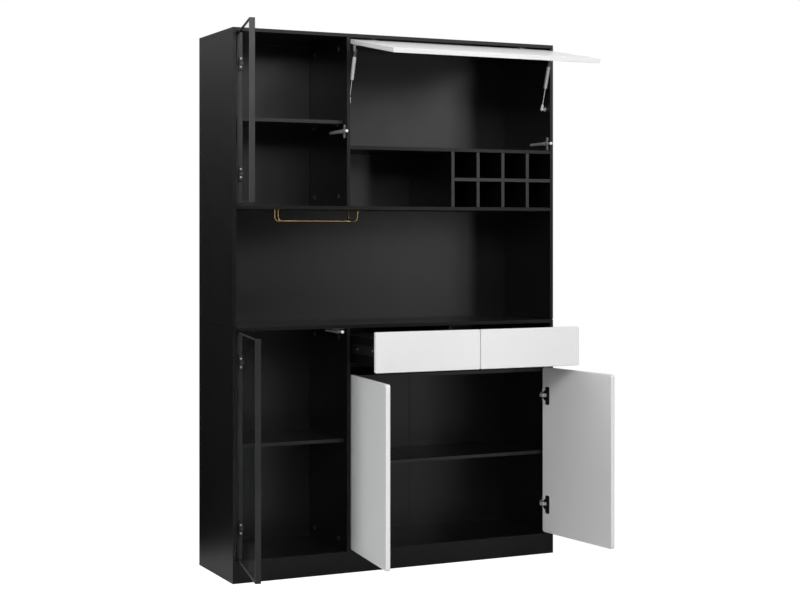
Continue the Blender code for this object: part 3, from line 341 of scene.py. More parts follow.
@dataclass(frozen=True)
class Palette:
    """Every finish of the sideboard."""

    board: Finish = Finish("satin_black_board", Slot.BOARD, (0.0022, 0.0022, 0.0023), (0.0030, 0.0030, 0.0031),
                           0.31, 0.34, front_specular=0.27, cloud_scale=3.0, grain_scale=900.0, relief=0.12)
    back: Finish = Finish("black_hardboard", Slot.BACK, (0.0026, 0.0026, 0.0027), (0.0034, 0.0034, 0.0035),
                          0.31, 0.34, cloud_scale=2.5, grain_scale=500.0, relief=0.14)
    white: Finish = Finish("white_lacquer", Slot.WHITE, (0.80, 0.80, 0.805), (0.82, 0.82, 0.822),
                           0.30, 0.38, coat=0.3, coat_roughness=0.12, cloud_scale=2.0, grain_scale=350.0,
                           relief=0.03, wave=0.02, wave_scale=25.0)
    frame: Finish = Finish("black_anodised", Slot.FRAME, (0.016, 0.016, 0.017), (0.025, 0.025, 0.026),
                           0.34, 0.44, metallic=0.35, cloud_scale=9.0, grain_scale=160.0,
                           grain_stretch=(10.0, 10.0, 0.4), relief=0.10)
    glass: GlassFinish = GlassFinish("clear_glass", Slot.GLASS, (0.92, 0.93, 0.928), (0.93, 0.94, 0.938),
                                     0.0, 0.02, cloud_scale=2.0, wave_scale=8.0)
    steel: Finish = Finish("nickel_plated_steel", Slot.STEEL, (0.74, 0.74, 0.73), (0.82, 0.82, 0.81),
                           0.34, 0.48, metallic=0.85, cloud_scale=60.0, grain_scale=1800.0, relief=0.10)
    screw: Finish = Finish("bright_screw", Slot.STEEL, (0.66, 0.66, 0.65), (0.76, 0.76, 0.75),
                           0.18, 0.30, metallic=1.0, cloud_scale=120.0, grain_scale=2500.0, relief=0.08)
    dull_screw: Finish = Finish("dull_screw", Slot.STEEL, (0.30, 0.30, 0.295), (0.40, 0.40, 0.39),
                                0.34, 0.46, metallic=1.0, cloud_scale=120.0, grain_scale=2500.0, relief=0.08)
    dark_steel: Finish = Finish("dark_nickel_steel", Slot.STEEL, (0.045, 0.045, 0.045), (0.075, 0.075, 0.074),
                                0.32, 0.44, metallic=0.9, cloud_scale=60.0, grain_scale=1800.0, relief=0.10)
    fitting: Finish = Finish("grey_strut_fitting", Slot.ZINC, (0.10, 0.10, 0.10), (0.15, 0.15, 0.15),
                             0.34, 0.50, metallic=0.6, cloud_scale=80.0, grain_scale=1500.0, relief=0.14)
    runner: Finish = Finish("black_coated_steel", Slot.FRAME, (0.004, 0.004, 0.004), (0.008, 0.008, 0.008),
                            0.34, 0.46, cloud_scale=12.0, grain_scale=1100.0,
                            grain_stretch=(4.0, 0.4, 4.0), relief=0.08)
    black_zinc: Finish = Finish("black_hinge_cup", Slot.ZINC, (0.012, 0.012, 0.012), (0.024, 0.024, 0.024),
                                0.30, 0.45, metallic=0.5, cloud_scale=60.0, grain_scale=1500.0, relief=0.10)
    zinc: Finish = Finish("die_cast_zinc", Slot.ZINC, (0.34, 0.34, 0.34), (0.46, 0.46, 0.46),
                          0.34, 0.50, metallic=1.0, cloud_scale=80.0, grain_scale=1500.0, relief=0.16)
    tube: Finish = Finish("silver_painted_tube", Slot.ZINC, (0.62, 0.62, 0.62), (0.70, 0.70, 0.70),
                          0.24, 0.34, metallic=0.35, coat=0.3, cloud_scale=40.0, grain_scale=1500.0, relief=0.05)
    chrome: Finish = Finish("ground_rod", Slot.STEEL, (0.70, 0.70, 0.70), (0.78, 0.78, 0.78),
                            0.10, 0.20, metallic=1.0, cloud_scale=60.0, grain_scale=1200.0,
                            grain_stretch=(1.0, 1.0, 0.05), relief=0.04)
    brass: Finish = Finish("brushed_brass", Slot.BRASS, (0.46, 0.30, 0.125), (0.54, 0.36, 0.16),
                           0.13, 0.21, metallic=1.0, cloud_scale=30.0, grain_scale=1200.0,
                           grain_stretch=(0.1, 1.0, 1.0), relief=0.08)
    grey: Finish = Finish("grey_plastic", Slot.GREY, (0.10, 0.10, 0.103), (0.13, 0.13, 0.134),
                          0.36, 0.50, cloud_scale=30.0, grain_scale=1500.0, relief=0.15)
    tip: Finish = Finish("white_plastic", Slot.TIP, (0.66, 0.66, 0.65), (0.72, 0.72, 0.71),
                         0.28, 0.38, cloud_scale=40.0, grain_scale=1500.0, relief=0.08)


# ---------------------------------------------------------------- shapes


def rectangle(low: Flat, high: Flat) -> list[Flat]:
    """Returns a rectangle's corners in order."""
    return [low, (high[0], low[1]), high, (low[0], high[1])]


def circle(sides: int) -> list[Flat]:
    """Returns the cosine and the sine of evenly spaced angles."""
    angles = (2 * math.pi * side / sides for side in range(sides))
    return [(math.cos(angle), math.sin(angle)) for angle in angles]


def rounded(points: Sequence[Flat], radius: float, steps: int = 6) -> list[Flat]:
    """Rounds the corners of a closed outline.

    Args:
        points: The outline's corners in order.
        radius: The radius at every corner.
        steps: How many chords make one corner.

    Returns:
        The points of the rounded outline.
    """
    result: list[Flat] = []
    for index, corner in enumerate(points):
        here = Vector(corner)
        back = (Vector(points[index - 1]) - here).normalized()
        ahead = (Vector(points[(index + 1) % len(points)]) - here).normalized()
        half = back.angle(ahead) / 2
        if half > math.radians(89.0):
            result.append((here.x, here.y))
            continue
        reach = radius / math.tan(half)
        centre = here + (back + ahead).normalized() * radius / math.sin(half)
        start, end = here + back * reach - centre, here + ahead * reach - centre
        turn = start.angle_signed(end)
        for step in range(steps + 1):
            spoke = start.copy()
            spoke.rotate(Matrix.Rotation(-turn * step / steps, 2))
            result.append((centre.x + spoke.x, centre.y + spoke.y))
    return result


def eased(points: Sequence[Point], radius: float, steps: int = 10) -> list[Vector]:
    """Rounds the inner corners of an open path.

    Args:
        points: The path's points.
        radius: The radius of each bend.
        steps: How many chords make one bend.

    Returns:
        The points of the eased path.
    """
    places = [Vector(point) for point in points]
    path = [places[0]]
    for before, corner, after in zip(places, places[1:], places[2:]):
        back, ahead = (before - corner).normalized(), (after - corner).normalized()
        half = back.angle(ahead) / 2
        reach = radius / math.tan(half)
        centre = corner + (back + ahead).normalized() * radius / math.sin(half)
        start, end = corner + back * reach - centre, corner + ahead * reach - centre
        for step in range(steps + 1):
            path.append(centre + Matrix.Rotation(start.angle(end) * step / steps, 3, start.cross(end)) @ start)
    path.append(places[-1])
    return path


def strip_outline(path: Sequence[Vector], thickness: float) -> list[Flat]:
    """Gives a flat path an even thickness.

    Args:
        path: The middle line's points.
        thickness: The strip's thickness.

    Returns:
        The outline's points.
    """
    left: list[Flat] = []
    right: list[Flat] = []
    for index, point in enumerate(path):
        before = (point - path[index - 1]).normalized() if index else None
        after = (path[index + 1] - point).normalized() if index < len(path) - 1 else None
        ways = [way for way in (before, after) if way is not None]
        normals = [Vector((-way.y, way.x)) for way in ways]
        normal = sum(normals, Vector((0.0, 0.0))).normalized()
        reach = thickness / 2 / normal.dot(normals[0])
        left.append((point.x + normal.x * reach, point.y + normal.y * reach))
        right.append((point.x - normal.x * reach, point.y - normal.y * reach))
    return left + right[::-1]


def axis_frame(origin: Point, axis: Point) -> Matrix:
    """Returns the matrix that turns +Z to an axis and moves the origin.

    Args:
        origin: The new origin.
        axis: The direction that +Z takes.

    Returns:
        The matrix.
    """
    turn = Vector((0.0, 0.0, 1.0)).rotation_difference(Vector(axis)).to_matrix().to_4x4()
    return Matrix.Translation(origin) @ turn


class Shape:
    """The mesh of one piece, while it is being made."""

    def __init__(self) -> None:
        """Starts with no faces."""
        self.data = bmesh.new()

    def take(self, made: bmesh.types.BMesh, place: Optional[Matrix] = None) -> "Shape":
        """Adds another mesh's faces, and frees that mesh.

        Args:
            made: The mesh to add.
            place: The matrix that puts it in place.

        Returns:
            This shape.
        """
        bmesh.ops.recalc_face_normals(made, faces=made.faces)
        if place is not None:
            bmesh.ops.transform(made, matrix=place, verts=made.verts)
            if place.determinant() < 0:
                bmesh.ops.reverse_faces(made, faces=made.faces)
        holder = bpy.data.meshes.new("holder")
        made.to_mesh(holder)
        made.free()
        self.data.from_mesh(holder)
        bpy.data.meshes.remove(holder)
        return self

    def add(self, other: "Shape", place: Optional[Matrix] = None) -> "Shape":
        """Adds a copy of another shape.

        Args:
            other: The shape to copy.
            place: The matrix that puts it in place.

        Returns:
            This shape.
        """
        return self.take(other.data.copy(), place)

    @staticmethod
    def skin(made: bmesh.types.BMesh, rings: Sequence[Sequence[bmesh.types.BMVert]]) -> None:
        """Joins each ring of points to the next one with faces.

        Args:
            made: The mesh that holds the points.
            rings: The rings; one that is a single point repeats it.
        """
        for first, second in zip(rings, rings[1:]):
            for side in range(len(first)):
                after = (side + 1) % len(first)
                unique = list(dict.fromkeys([first[side], first[after], second[after], second[side]]))
                if len(unique) > 2:
                    made.faces.new(unique)

    def block(self, low: Point, high: Point, edge: float = 0.0, steps: int = 2) -> "Shape":
        """Adds a block with eased edges.

        Args:
            low: The lowest corner.
            high: The highest corner.
            edge: The radius of its edges.
            steps: How many faces make one edge.

        Returns:
            This shape.
        """
        made = bmesh.new()
        bmesh.ops.create_cube(made, size=1.0)
        size, middle = Vector(high) - Vector(low), (Vector(high) + Vector(low)) / 2
        bmesh.ops.scale(made, vec=size, verts=made.verts)
        bmesh.ops.translate(made, vec=middle, verts=made.verts)
        if edge:
            bmesh.ops.bevel(made, geom=made.edges[:], offset=edge, segments=steps, profile=0.5, affect="EDGES")
        return self.take(made)

    def lathe(self, profile: Sequence[Flat], origin: Point = (0.0, 0.0, 0.0), axis: Point = ALONG_Z,
              sides: int = 32, ring: bool = False) -> "Shape":
        """Adds a turned solid.

        Args:
            profile: Radius and distance along the axis, from one end to the other.
            origin: Where the distances start.
            axis: The axis's direction.
            sides: How many faces go round.
            ring: Whether the profile closes on itself instead of on the axis.

        Returns:
            This shape.
        """
        made = bmesh.new()
        rings = []
        for radius, along in profile:
            if radius <= 0.0:
                rings.append([made.verts.new((0.0, 0.0, along))] * sides)
            else:
                rings.append([made.verts.new((radius * x, radius * y, along)) for x, y in circle(sides)])
        self.skin(made, rings + rings[:1] if ring else rings)
        if not ring:
            for ends in (rings[0], rings[-1]):
                if len(set(ends)) > 1:
                    made.faces.new(ends)
        return self.take(made, axis_frame(origin, axis))

    def pin(self, radius: float, low: float, high: float, origin: Point, axis: Point = ALONG_Z,
            sides: int = 16) -> "Shape":
        """Adds a plain round pin between two distances along an axis."""
        return self.lathe([(0.0, low), (radius, low), (radius, high), (0.0, high)], origin, axis, sides)

    def bar(self, path: Sequence[Vector], radius: float, sides: int = 20) -> "Shape":
        """Adds a round bar along a path, with eased ends.

        Args:
            path: The middle line's points.
            radius: The bar's radius.
            sides: How many faces go round.

        Returns:
            This shape.
        """
        made = bmesh.new()
        heading = (path[1] - path[0]).normalized()
        across = heading.orthogonal().normalized()
        ease = radius * 0.25
        stations = [(path[0], heading, radius - ease), (path[0] + heading * ease, heading, radius)]
        for index in range(1, len(path) - 1):
            mean = ((path[index] - path[index - 1]).normalized() + (path[index + 1] - path[index]).normalized())
            stations.append((path[index], mean.normalized(), radius))
        last = (path[-1] - path[-2]).normalized()
        stations += [(path[-1] - last * ease, last, radius), (path[-1], last, radius - ease)]
        rings = []
        for centre, way, reach in stations:
            across = (across - way * across.dot(way)).normalized()
            other = way.cross(across)
            rings.append([made.verts.new(centre + reach * (x * across + y * other)) for x, y in circle(sides)])
        self.skin(made, rings)
        made.faces.new(rings[0])
        made.faces.new(rings[-1])
        return self.take(made)

    def plate(self, outline: Sequence[Flat], low: float, high: float, plane: Plane = Plane.XY,
              edge: float = 0.0, steps: int = 2) -> "Shape":
        """Adds a flat outline with a thickness.

        Args:
            outline: The outline's points.
            low: Where the thickness starts, across the plane.
            high: Where it ends.
            plane: The outline's plane.
            edge: The radius of the outline's edges.
            steps: How many faces make one edge.

        Returns:
            This shape.
        """
        places = {Plane.XY: lambda a, b, c: (a, b, c), Plane.XZ: lambda a, b, c: (a, c, b),
                  Plane.YZ: lambda a, b, c: (c, a, b)}
        made = bmesh.new()
        rings = [[made.verts.new(places[plane](a, b, level)) for a, b in outline] for level in (low, high)]
        caps = [made.faces.new(ring) for ring in rings]
        self.skin(made, rings)
        if edge:
            bmesh.ops.recalc_face_normals(made, faces=made.faces)
            rims = list({rim for cap in caps for rim in cap.edges})
            bmesh.ops.bevel(made, geom=rims, offset=edge, segments=steps, profile=0.5, affect="EDGES")
        return self.take(made)

    def changed(self, other: "Shape", operation: str) -> "Shape":
        """Returns this shape after an exact Boolean with another.

        Args:
            other: The other operand.
            operation: UNION or DIFFERENCE.

        Returns:
            The new shape.
        """
        holders = []
        for shape in (self, other):
            mesh = bpy.data.meshes.new("operand")
            shape.data.to_mesh(mesh)
            holder = bpy.data.objects.new("operand", mesh)
            bpy.context.scene.collection.objects.link(holder)
            holders.append(holder)
        modifier = holders[0].modifiers.new("change", "BOOLEAN")
        modifier.operation = operation
        modifier.solver = "EXACT"
        modifier.object = holders[1]
        bpy.context.view_layer.update()
        state = bpy.context.evaluated_depsgraph_get()
        result = Shape()
        mesh = bpy.data.meshes.new_from_object(holders[0].evaluated_get(state))
        result.data.from_mesh(mesh)
        bpy.data.meshes.remove(mesh)
        for holder in holders:
            data = holder.data
            bpy.data.objects.remove(holder, do_unlink=True)
            bpy.data.meshes.remove(data)
        return result

    def cut(self, other: "Shape") -> "Shape":
        """Returns this shape without the space of another."""
        return self.changed(other, "DIFFERENCE")

    def fuse(self, other: "Shape") -> "Shape":
        """Returns this shape in one with another."""
        return self.changed(other, "UNION")


@dataclass(frozen=True)
class Bench:
    """Where shapes become pieces of the sideboard."""

    palette: Palette
    sharp_deg: float = 40.0

    def piece(self, name: str, shape: Shape, finish: Finish, body: Body, place: Optional[Matrix] = None,
              replaces: Iterable[str] = ()) -> None:
        """Makes one piece and seats it on its body.

        Args:
            name: The piece's name.
            shape: Its mesh.
            finish: Its finish.
            body: The body that it rides on.
            place: The matrix that puts the shape in place.
            replaces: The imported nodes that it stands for.
        """
        whole = Shape().add(shape, place)
        mesh = bpy.data.meshes.new(name)
        whole.data.to_mesh(mesh)
        whole.data.free()
        mesh.shade_smooth()
        mesh.set_sharp_from_angle(angle=math.radians(self.sharp_deg))
        mesh.materials.append(finish.material())
        item = bpy.data.objects.new(name, mesh)
        bpy.context.scene.collection.objects.link(item)
        item.modifiers.new("even_normals", "WEIGHTED_NORMAL").keep_sharp = True
        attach(item, body.value)
        if tuple(replaces):
            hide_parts(*replaces)
        LOG.info("made %s, %d faces", name, len(mesh.polygons))

    def dress(self, node: bpy.types.Object, finish: Finish) -> None:
        """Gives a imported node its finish.

        Args:
            node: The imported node.
            finish: The finish.
        """
        node.data.materials.clear()
        node.data.materials.append(finish.material())
        LOG.info("dressed %s in %s", node.name, finish.name)


@dataclass(frozen=True)
class Screw:
    """A pan-head screw with a cross recess."""

    radius: float = 0.0032
    height: float = 0.0012
    recess: float = 0.55
    slot: float = 0.22

    def shape(self) -> Shape:
        """Returns the head, seated at the origin and facing +Z."""
        head, r, h = Shape(), self.radius, self.height
        head.lathe([(0.0, -h), (r, -h), (r, h * 0.45), (r * 0.86, h * 0.82), (r * 0.5, h), (0.0, h)], sides=24)
        arm, half, deep = r * self.recess, r * self.slot / 2, h * 0.2
        cross = Shape().block((-arm, -half, deep), (arm, half, h * 2))
        cross = cross.fuse(Shape().block((-half, -arm, deep), (half, arm, h * 2)))
        return head.cut(cross)


# ---------------------------------------------------------------- sizes


@dataclass(frozen=True)
class Plan:
    """The sizes and levels that the sub-assemblies share."""

    width: float = 1.200
    depth: float = 0.340
    board: float = 0.012
    seat: float = 0.0003
    left_bay: float = 0.390
    front_gap: float = 0.003
    pair_gap: float = 0.002
    front_thickness: float = 0.015
    plinth: float = 0.0595
    deck_underside: float = 0.644
    countertop_underside: float = 0.816
    niche_ceiling: float = 1.212
    flap_shelf_underside: float = 1.414
    top_underside: float = 1.788
    back_front: float = 0.161
    back_thickness: float = 0.004
    board_rear: float = 0.1594
    hinge_inset: float = 0.100
    upper_latch: float = 1.474
    lower_latch: float = 0.8055
    flap_latch: float = 1.451

    @property
    def left(self) -> float:
        """The left side's outer face."""
        return -self.width / 2

    @property
    def right(self) -> float:
        """The right side's outer face."""
        return self.width / 2

    @property
    def front(self) -> float:
        """The front plane."""
        return -self.depth / 2

    @property
    def rear(self) -> float:
        """The rear plane."""
        return self.depth / 2

    @property
    def inner_left(self) -> float:
        """The left side's inner face."""
        return self.left + self.board

    @property
    def inner_right(self) -> float:
        """The right side's inner face."""
        return self.right - self.board

    @property
    def divider_left(self) -> float:
        """The dividers' left face."""
        return self.inner_left + self.left_bay

    @property
    def divider_right(self) -> float:
        """The dividers' right face."""
        return self.divider_left + self.board

    @property
    def bay_middle(self) -> float:
        """The middle of the right bay."""
        return (self.divider_right + self.inner_right) / 2

    @property
    def bottom_top(self) -> float:
        """The bottom panel's top."""
        return self.plinth + self.board

    @property
    def deck_top(self) -> float:
        """The drawer deck's top."""
        return self.deck_underside + self.board

    @property
    def lower_height(self) -> float:
        """The countertop's top."""
        return self.countertop_underside + self.board

    @property
    def niche_shelf_top(self) -> float:
        """The top of the shelf over the niche."""
        return self.niche_ceiling + self.board

    @property
    def flap_shelf_top(self) -> float:
        """The top of the shelf behind the flap."""
        return self.flap_shelf_underside + self.board

    @property
    def partition_left(self) -> float:
        """The drawer partition's left face."""
        return self.bay_middle - self.board / 2

    @property
    def partition_right(self) -> float:
        """The drawer partition's right face."""
        return self.bay_middle + self.board / 2

    def on_wall(self, face: float, way: int, low: float, high: float) -> tuple[Matrix, ...]:
        """Returns the matrices from a hinge's own frame to an upright board, for a door's two hinges.

        In that frame X is the distance from the board, Y the distance behind
        the front plane, and Z runs along the hinge's axis.

        Args:
            face: The board's face.
            way: 1 where the door is right of the face, -1 where it is left.
            low: The door's lower edge.
            high: Its upper edge.

        Returns:
            The lower and the upper hinge's matrix.
        """
        return tuple(Matrix(((way, 0, 0, face), (0, 1, 0, self.front), (0, 0, way, height), (0, 0, 0, 1)))
                     for height in (low + self.hinge_inset, high - self.hinge_inset))

    def ceiling(self, place_x: float) -> Matrix:
        """Returns the matrix from a hinge's own frame to the top panel's underside.

        Args:
            place_x: The hinge's place along the width.

        Returns:
            The matrix.
        """
        return Matrix(((0, 0, 1, place_x), (0, 1, 0, self.front), (-1, 0, 0, self.top_underside), (0, 0, 0, 1)))


def swung(pivot: Vector, axis: str, degrees: float) -> Matrix:
    """Returns the matrix of a turn about an axis through a point.

    Args:
        pivot: The point.
        axis: X, Y or Z.
        degrees: The angle.

    Returns:
        The matrix.
    """
    turn = Matrix.Rotation(math.radians(degrees), 4, axis)
    return Matrix.Translation(pivot) @ turn @ Matrix.Translation(-pivot)


@dataclass
class Part:
    """A sub-assembly, made on the bench to the plan's sizes."""

    bench: Bench
    plan: Plan


# ---------------------------------------------------------------- boards


@dataclass(frozen=True)
class Board:
    """One upright board with its groove."""

    name: str
    low: Point
    high: Point
    groove: Optional[tuple[Point, Point]] = None


@dataclass
class Carcass(Part):
    """The boards of both bodies, their backs and the bottle rack."""

    edge: float = 0.0005
    back_edge: float = 0.0003
    groove_depth: float = 0.005
    overcut: float = 0.002
    partition_setback: float = 0.021
    strip_width: float = 0.013
    strip_proud: float = 0.001
    strip_sunk: float = 0.0002
    lap: float = 0.001
    seam: float = 0.0025
    seam_overcut: float = 0.001
    seam_end: float = 0.005
    plain: tuple[str, ...] = (
        "top_panel", "countertop", "bottom_panel", "plinth_front", "plinth_rails", "niche_top_shelf", "flap_shelf",
        "rack_end_panel", "rack_upright_1", "rack_upright_2", "rack_upright_3", "rack_shelf", "drawer_deck",
        "upper_left_shelf", "lower_left_shelf", "lower_right_shelf")

    def boards(self) -> list[Board]:
        """Returns the boards that carry pins or runners, without them."""
        plan, gap = self.plan, self.plan.seat
        levels = {"lower": (0.0, plan.lower_height), "upper": (plan.lower_height + gap, plan.top_underside)}
        result = []
        for side, level in (("left", "lower"), ("right", "lower"), ("left", "upper"), ("right", "upper")):
            low_z, high_z = levels[level]
            low_x = plan.left if side == "left" else plan.inner_right
            inner = plan.inner_left if side == "left" else plan.inner_right
            way = -1 if side == "left" else 1
            ends = sorted((inner - way * self.overcut, inner + way * self.groove_depth))
            groove = ((ends[0], plan.back_front - gap, low_z - self.overcut),
                      (ends[1], plan.back_front + plan.back_thickness + gap, high_z + self.overcut))
            result.append(Board(f"{level}_side_{side}", (low_x, plan.front, low_z),
                                (low_x + plan.board, plan.rear, high_z), groove))
        result.append(Board("lower_divider", (plan.divider_left, plan.front, plan.bottom_top + gap),
                            (plan.divider_right, plan.board_rear, plan.countertop_underside - gap)))
        result.append(Board("upper_divider", (plan.divider_left, plan.front, plan.niche_shelf_top + gap),
                            (plan.divider_right, plan.board_rear, plan.top_underside - gap)))
        result.append(Board("drawer_partition",
                            (plan.partition_left, plan.front + self.partition_setback, plan.deck_top + gap),
                            (plan.partition_right, plan.board_rear, plan.countertop_underside - gap)))
        return result

    def build(self, nodes: dict[str, bpy.types.Object]) -> None:
        """Dresses the plain boards and makes the others again.

        Args:
            nodes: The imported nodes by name.
        """
        palette = self.bench.palette
        for name in self.plain:
            self.bench.dress(nodes[name], palette.board)
        self.bench.dress(nodes["lower_back"], palette.back)
        for board in self.boards():
            shape = Shape().block(board.low, board.high, self.edge)
            if board.groove:
                shape = shape.cut(Shape().block(*board.groove))
            if board.name.startswith("upper_side"):
                shape = shape.cut(self.eased_foot(board))
            self.bench.piece(board.name + "_board", shape, palette.board, Body.CABINET, replaces=[board.name])
        self.build_upper_back()

    def eased_foot(self, board: Board) -> Shape:
        """Makes what is cut from an upper side's foot, so that the joint reads as a dark line.

        Args:
            board: The upper side.

        Returns:
            The cutter: wedges along the foot's outer face and its front edge.
        """
        seam, out = self.seam, self.seam_overcut
        (low_x, low_y, low_z), (high_x, high_y, _) = board.low, board.high
        edge, way = (low_x, 1) if low_x < 0.0 else (high_x, -1)
        wedge = [(-out, low_z - out), (seam + out, low_z - out), (-out, low_z + seam + out)]
        outer = Shape().plate([(edge + way * across, z) for across, z in wedge], low_y - out,
                              high_y - self.seam_end, Plane.XZ)
        front = Shape().plate([(low_y + across, z) for across, z in wedge], low_x - 2 * out, high_x + 2 * out, Plane.YZ)
        return outer.fuse(front)

    def build_upper_back(self) -> None:
        """Makes the upper back, whose two halves a strip joins from behind."""
        plan, gap = self.plan, 2 * self.plan.seat
        low, high = plan.lower_height - self.lap, plan.top_underside - gap
        front, rear = plan.back_front, plan.back_front + plan.back_thickness
        reach = plan.inner_right + self.groove_depth - gap
        back = Shape().block((-reach, front, low), (reach, rear, high), self.back_edge)
        half = self.strip_width / 2
        back.block((plan.bay_middle - half, rear - self.strip_sunk, low + gap),
                   (plan.bay_middle + half, rear + self.strip_proud, high - gap), self.back_edge)
        self.bench.piece("upper_back_panel", back, self.bench.palette.back, Body.CABINET, replaces=["upper_back"])


@dataclass
class ShelfPins(Part):
    """The metal pins under the loose shelves."""

    radius: float = 0.0025
    reach: float = 0.008
    collar: float = 0.0042
    setback: float = 0.045
    upper_recess: float = 0.030
    lower_recess: float = 0.025
    upper_left_underside: float = 1.4995
    lower_left_underside: float = 0.434
    lower_right_underside: float = 0.351

    def shape(self) -> Shape:
        """Returns one pin from its wall along +Z."""
        r = self.radius
        return Shape().lathe([(0.0, -0.004), (r, -0.004), (r, 0.0), (self.collar, 0.0), (self.collar, 0.0005),
                              (self.collar - 0.0003, 0.0008), (r, 0.0008), (r, self.reach - 0.0006),
                              (r - 0.0006, self.reach), (0.0, self.reach)], sides=24)

    def build(self) -> None:
        """Makes the pins of each loose shelf."""
        plan = self.plan
        left, right = (plan.inner_left, plan.divider_left), (plan.divider_right, plan.inner_right)
        shelves = (("upper_left", *left, self.upper_left_underside, self.upper_recess),
                   ("lower_left", *left, self.lower_left_underside, self.lower_recess),
                   ("lower_right", *right, self.lower_right_underside, self.lower_recess))
        pin = self.shape()
        for name, low_x, high_x, underside, recess in shelves:
            pins = Shape()
            level = underside - plan.seat - self.radius
            for y in (plan.front + recess + self.setback, plan.board_rear - self.setback):
                pins.add(pin, axis_frame((low_x, y, level), ALONG_X))
                pins.add(pin, axis_frame((high_x, y, level), (-1.0, 0.0, 0.0)))
            self.bench.piece(name + "_shelf_pins", pins, self.bench.palette.dull_screw, Body.CABINET)


@dataclass
class CamLocks(Part):
    """The cam discs that draw the boards together."""

    radius: float = 0.0073
    proud: float = 0.0003
    end_distance: float = 0.034
    depths: tuple[float, float] = (0.070, 0.280)

    def shape(self) -> Shape:
        """Returns one cam, seated in a face at the origin and facing +Z."""
        r, p = self.radius, self.proud
        disc = Shape().lathe([(0.0, -0.001), (r, -0.001), (r, p * 0.5), (r - p, p), (0.0, p)], sides=36)
        long, wide, deep = r * 0.62, r * 0.13, -0.0006
        cross = Shape().block((-long, -wide, deep), (long, wide, 0.001))
        cross = cross.fuse(Shape().block((-wide, -long, deep), (wide, long, 0.001)))
        return disc.cut(cross)

    def build(self) -> None:
        """Makes the cams of the dividers and of the fixed shelves."""
        plan, cam, e = self.plan, self.shape(), self.end_distance
        rows = [plan.front + depth for depth in self.depths]
        groups: dict[str, list[tuple[Point, Point]]] = {"divider_cams": [], "shelf_cams": []}
        for low, high in ((plan.bottom_top, plan.countertop_underside), (plan.niche_shelf_top, plan.top_underside)):
            for z in (low + e, high - e):
                groups["divider_cams"] += [((plan.divider_left, y, z), (-1.0, 0.0, 0.0)) for y in rows]
        undersides = ((plan.niche_ceiling, plan.inner_left), (plan.flap_shelf_underside, plan.divider_right),
                      (plan.countertop_underside, plan.inner_left), (plan.deck_underside, plan.divider_right))
        for level, low_x in undersides:
            for x in (low_x + e, plan.inner_right - e):
                groups["shelf_cams"] += [((x, y, level), (0.0, 0.0, -1.0)) for y in rows]
        for name, places in groups.items():
            cams = Shape()
            for place, way in places:
                cams.add(cam, axis_frame(place, way))
            self.bench.piece(name, cams, self.bench.palette.zinc, Body.CABINET)


@dataclass
class StemwareRails(Part):
    """The two brass rails under the niche's ceiling."""

    radius: float = 0.00275
    drop: float = 0.038
    front_depth: float = 0.055
    pitch: float = 0.030
    start: float = 0.178
    length: float = 0.255
    flare_run: float = 0.023
    flare_spread: float = 0.025
    bend: float = 0.013
    lean: float = 0.88
    foot_radius: float = 0.0065
    foot_thickness: float = 0.0015

    def build(self) -> None:
        """Makes both rails with their feet."""
        plan = self.plan
        ceiling = plan.niche_ceiling - plan.seat
        low, start = plan.niche_ceiling - self.drop, plan.left + self.start
        end_x = start + self.length
        rails = (("front_stemware_rail", plan.front + self.front_depth, -1),
                 ("rear_stemware_rail", plan.front + self.front_depth + self.pitch, 1))
        r, t = self.foot_radius, self.foot_thickness
        foot = Shape().lathe([(0.0, 0.0), (r, 0.0), (r, t * 0.5), (r - 0.0008, t * 0.9), (self.radius + 0.0006, t),
                              (self.radius, t + 0.0006), (0.0, t + 0.0006)], sides=32)
        for name, y, way in rails:
            end = (end_x + self.flare_run, y + way * self.flare_spread, ceiling - self.radius)
            turn = (end_x + self.lean * self.flare_run, y + way * self.lean * self.flare_spread, low)
            corners = [(start, y, ceiling - t / 2), (start, y, low), (end_x, y, low), turn, end]
            shape = Shape().bar(eased(corners, self.bend), self.radius, 24)
            for place in (corners[0], end):
                shape.add(foot, axis_frame((place[0], place[1], ceiling), (0.0, 0.0, -1.0)))
            self.bench.piece(name + "_bar", shape, self.bench.palette.brass, Body.CABINET, replaces=[name])


# ---------------------------------------------------------------- hinges


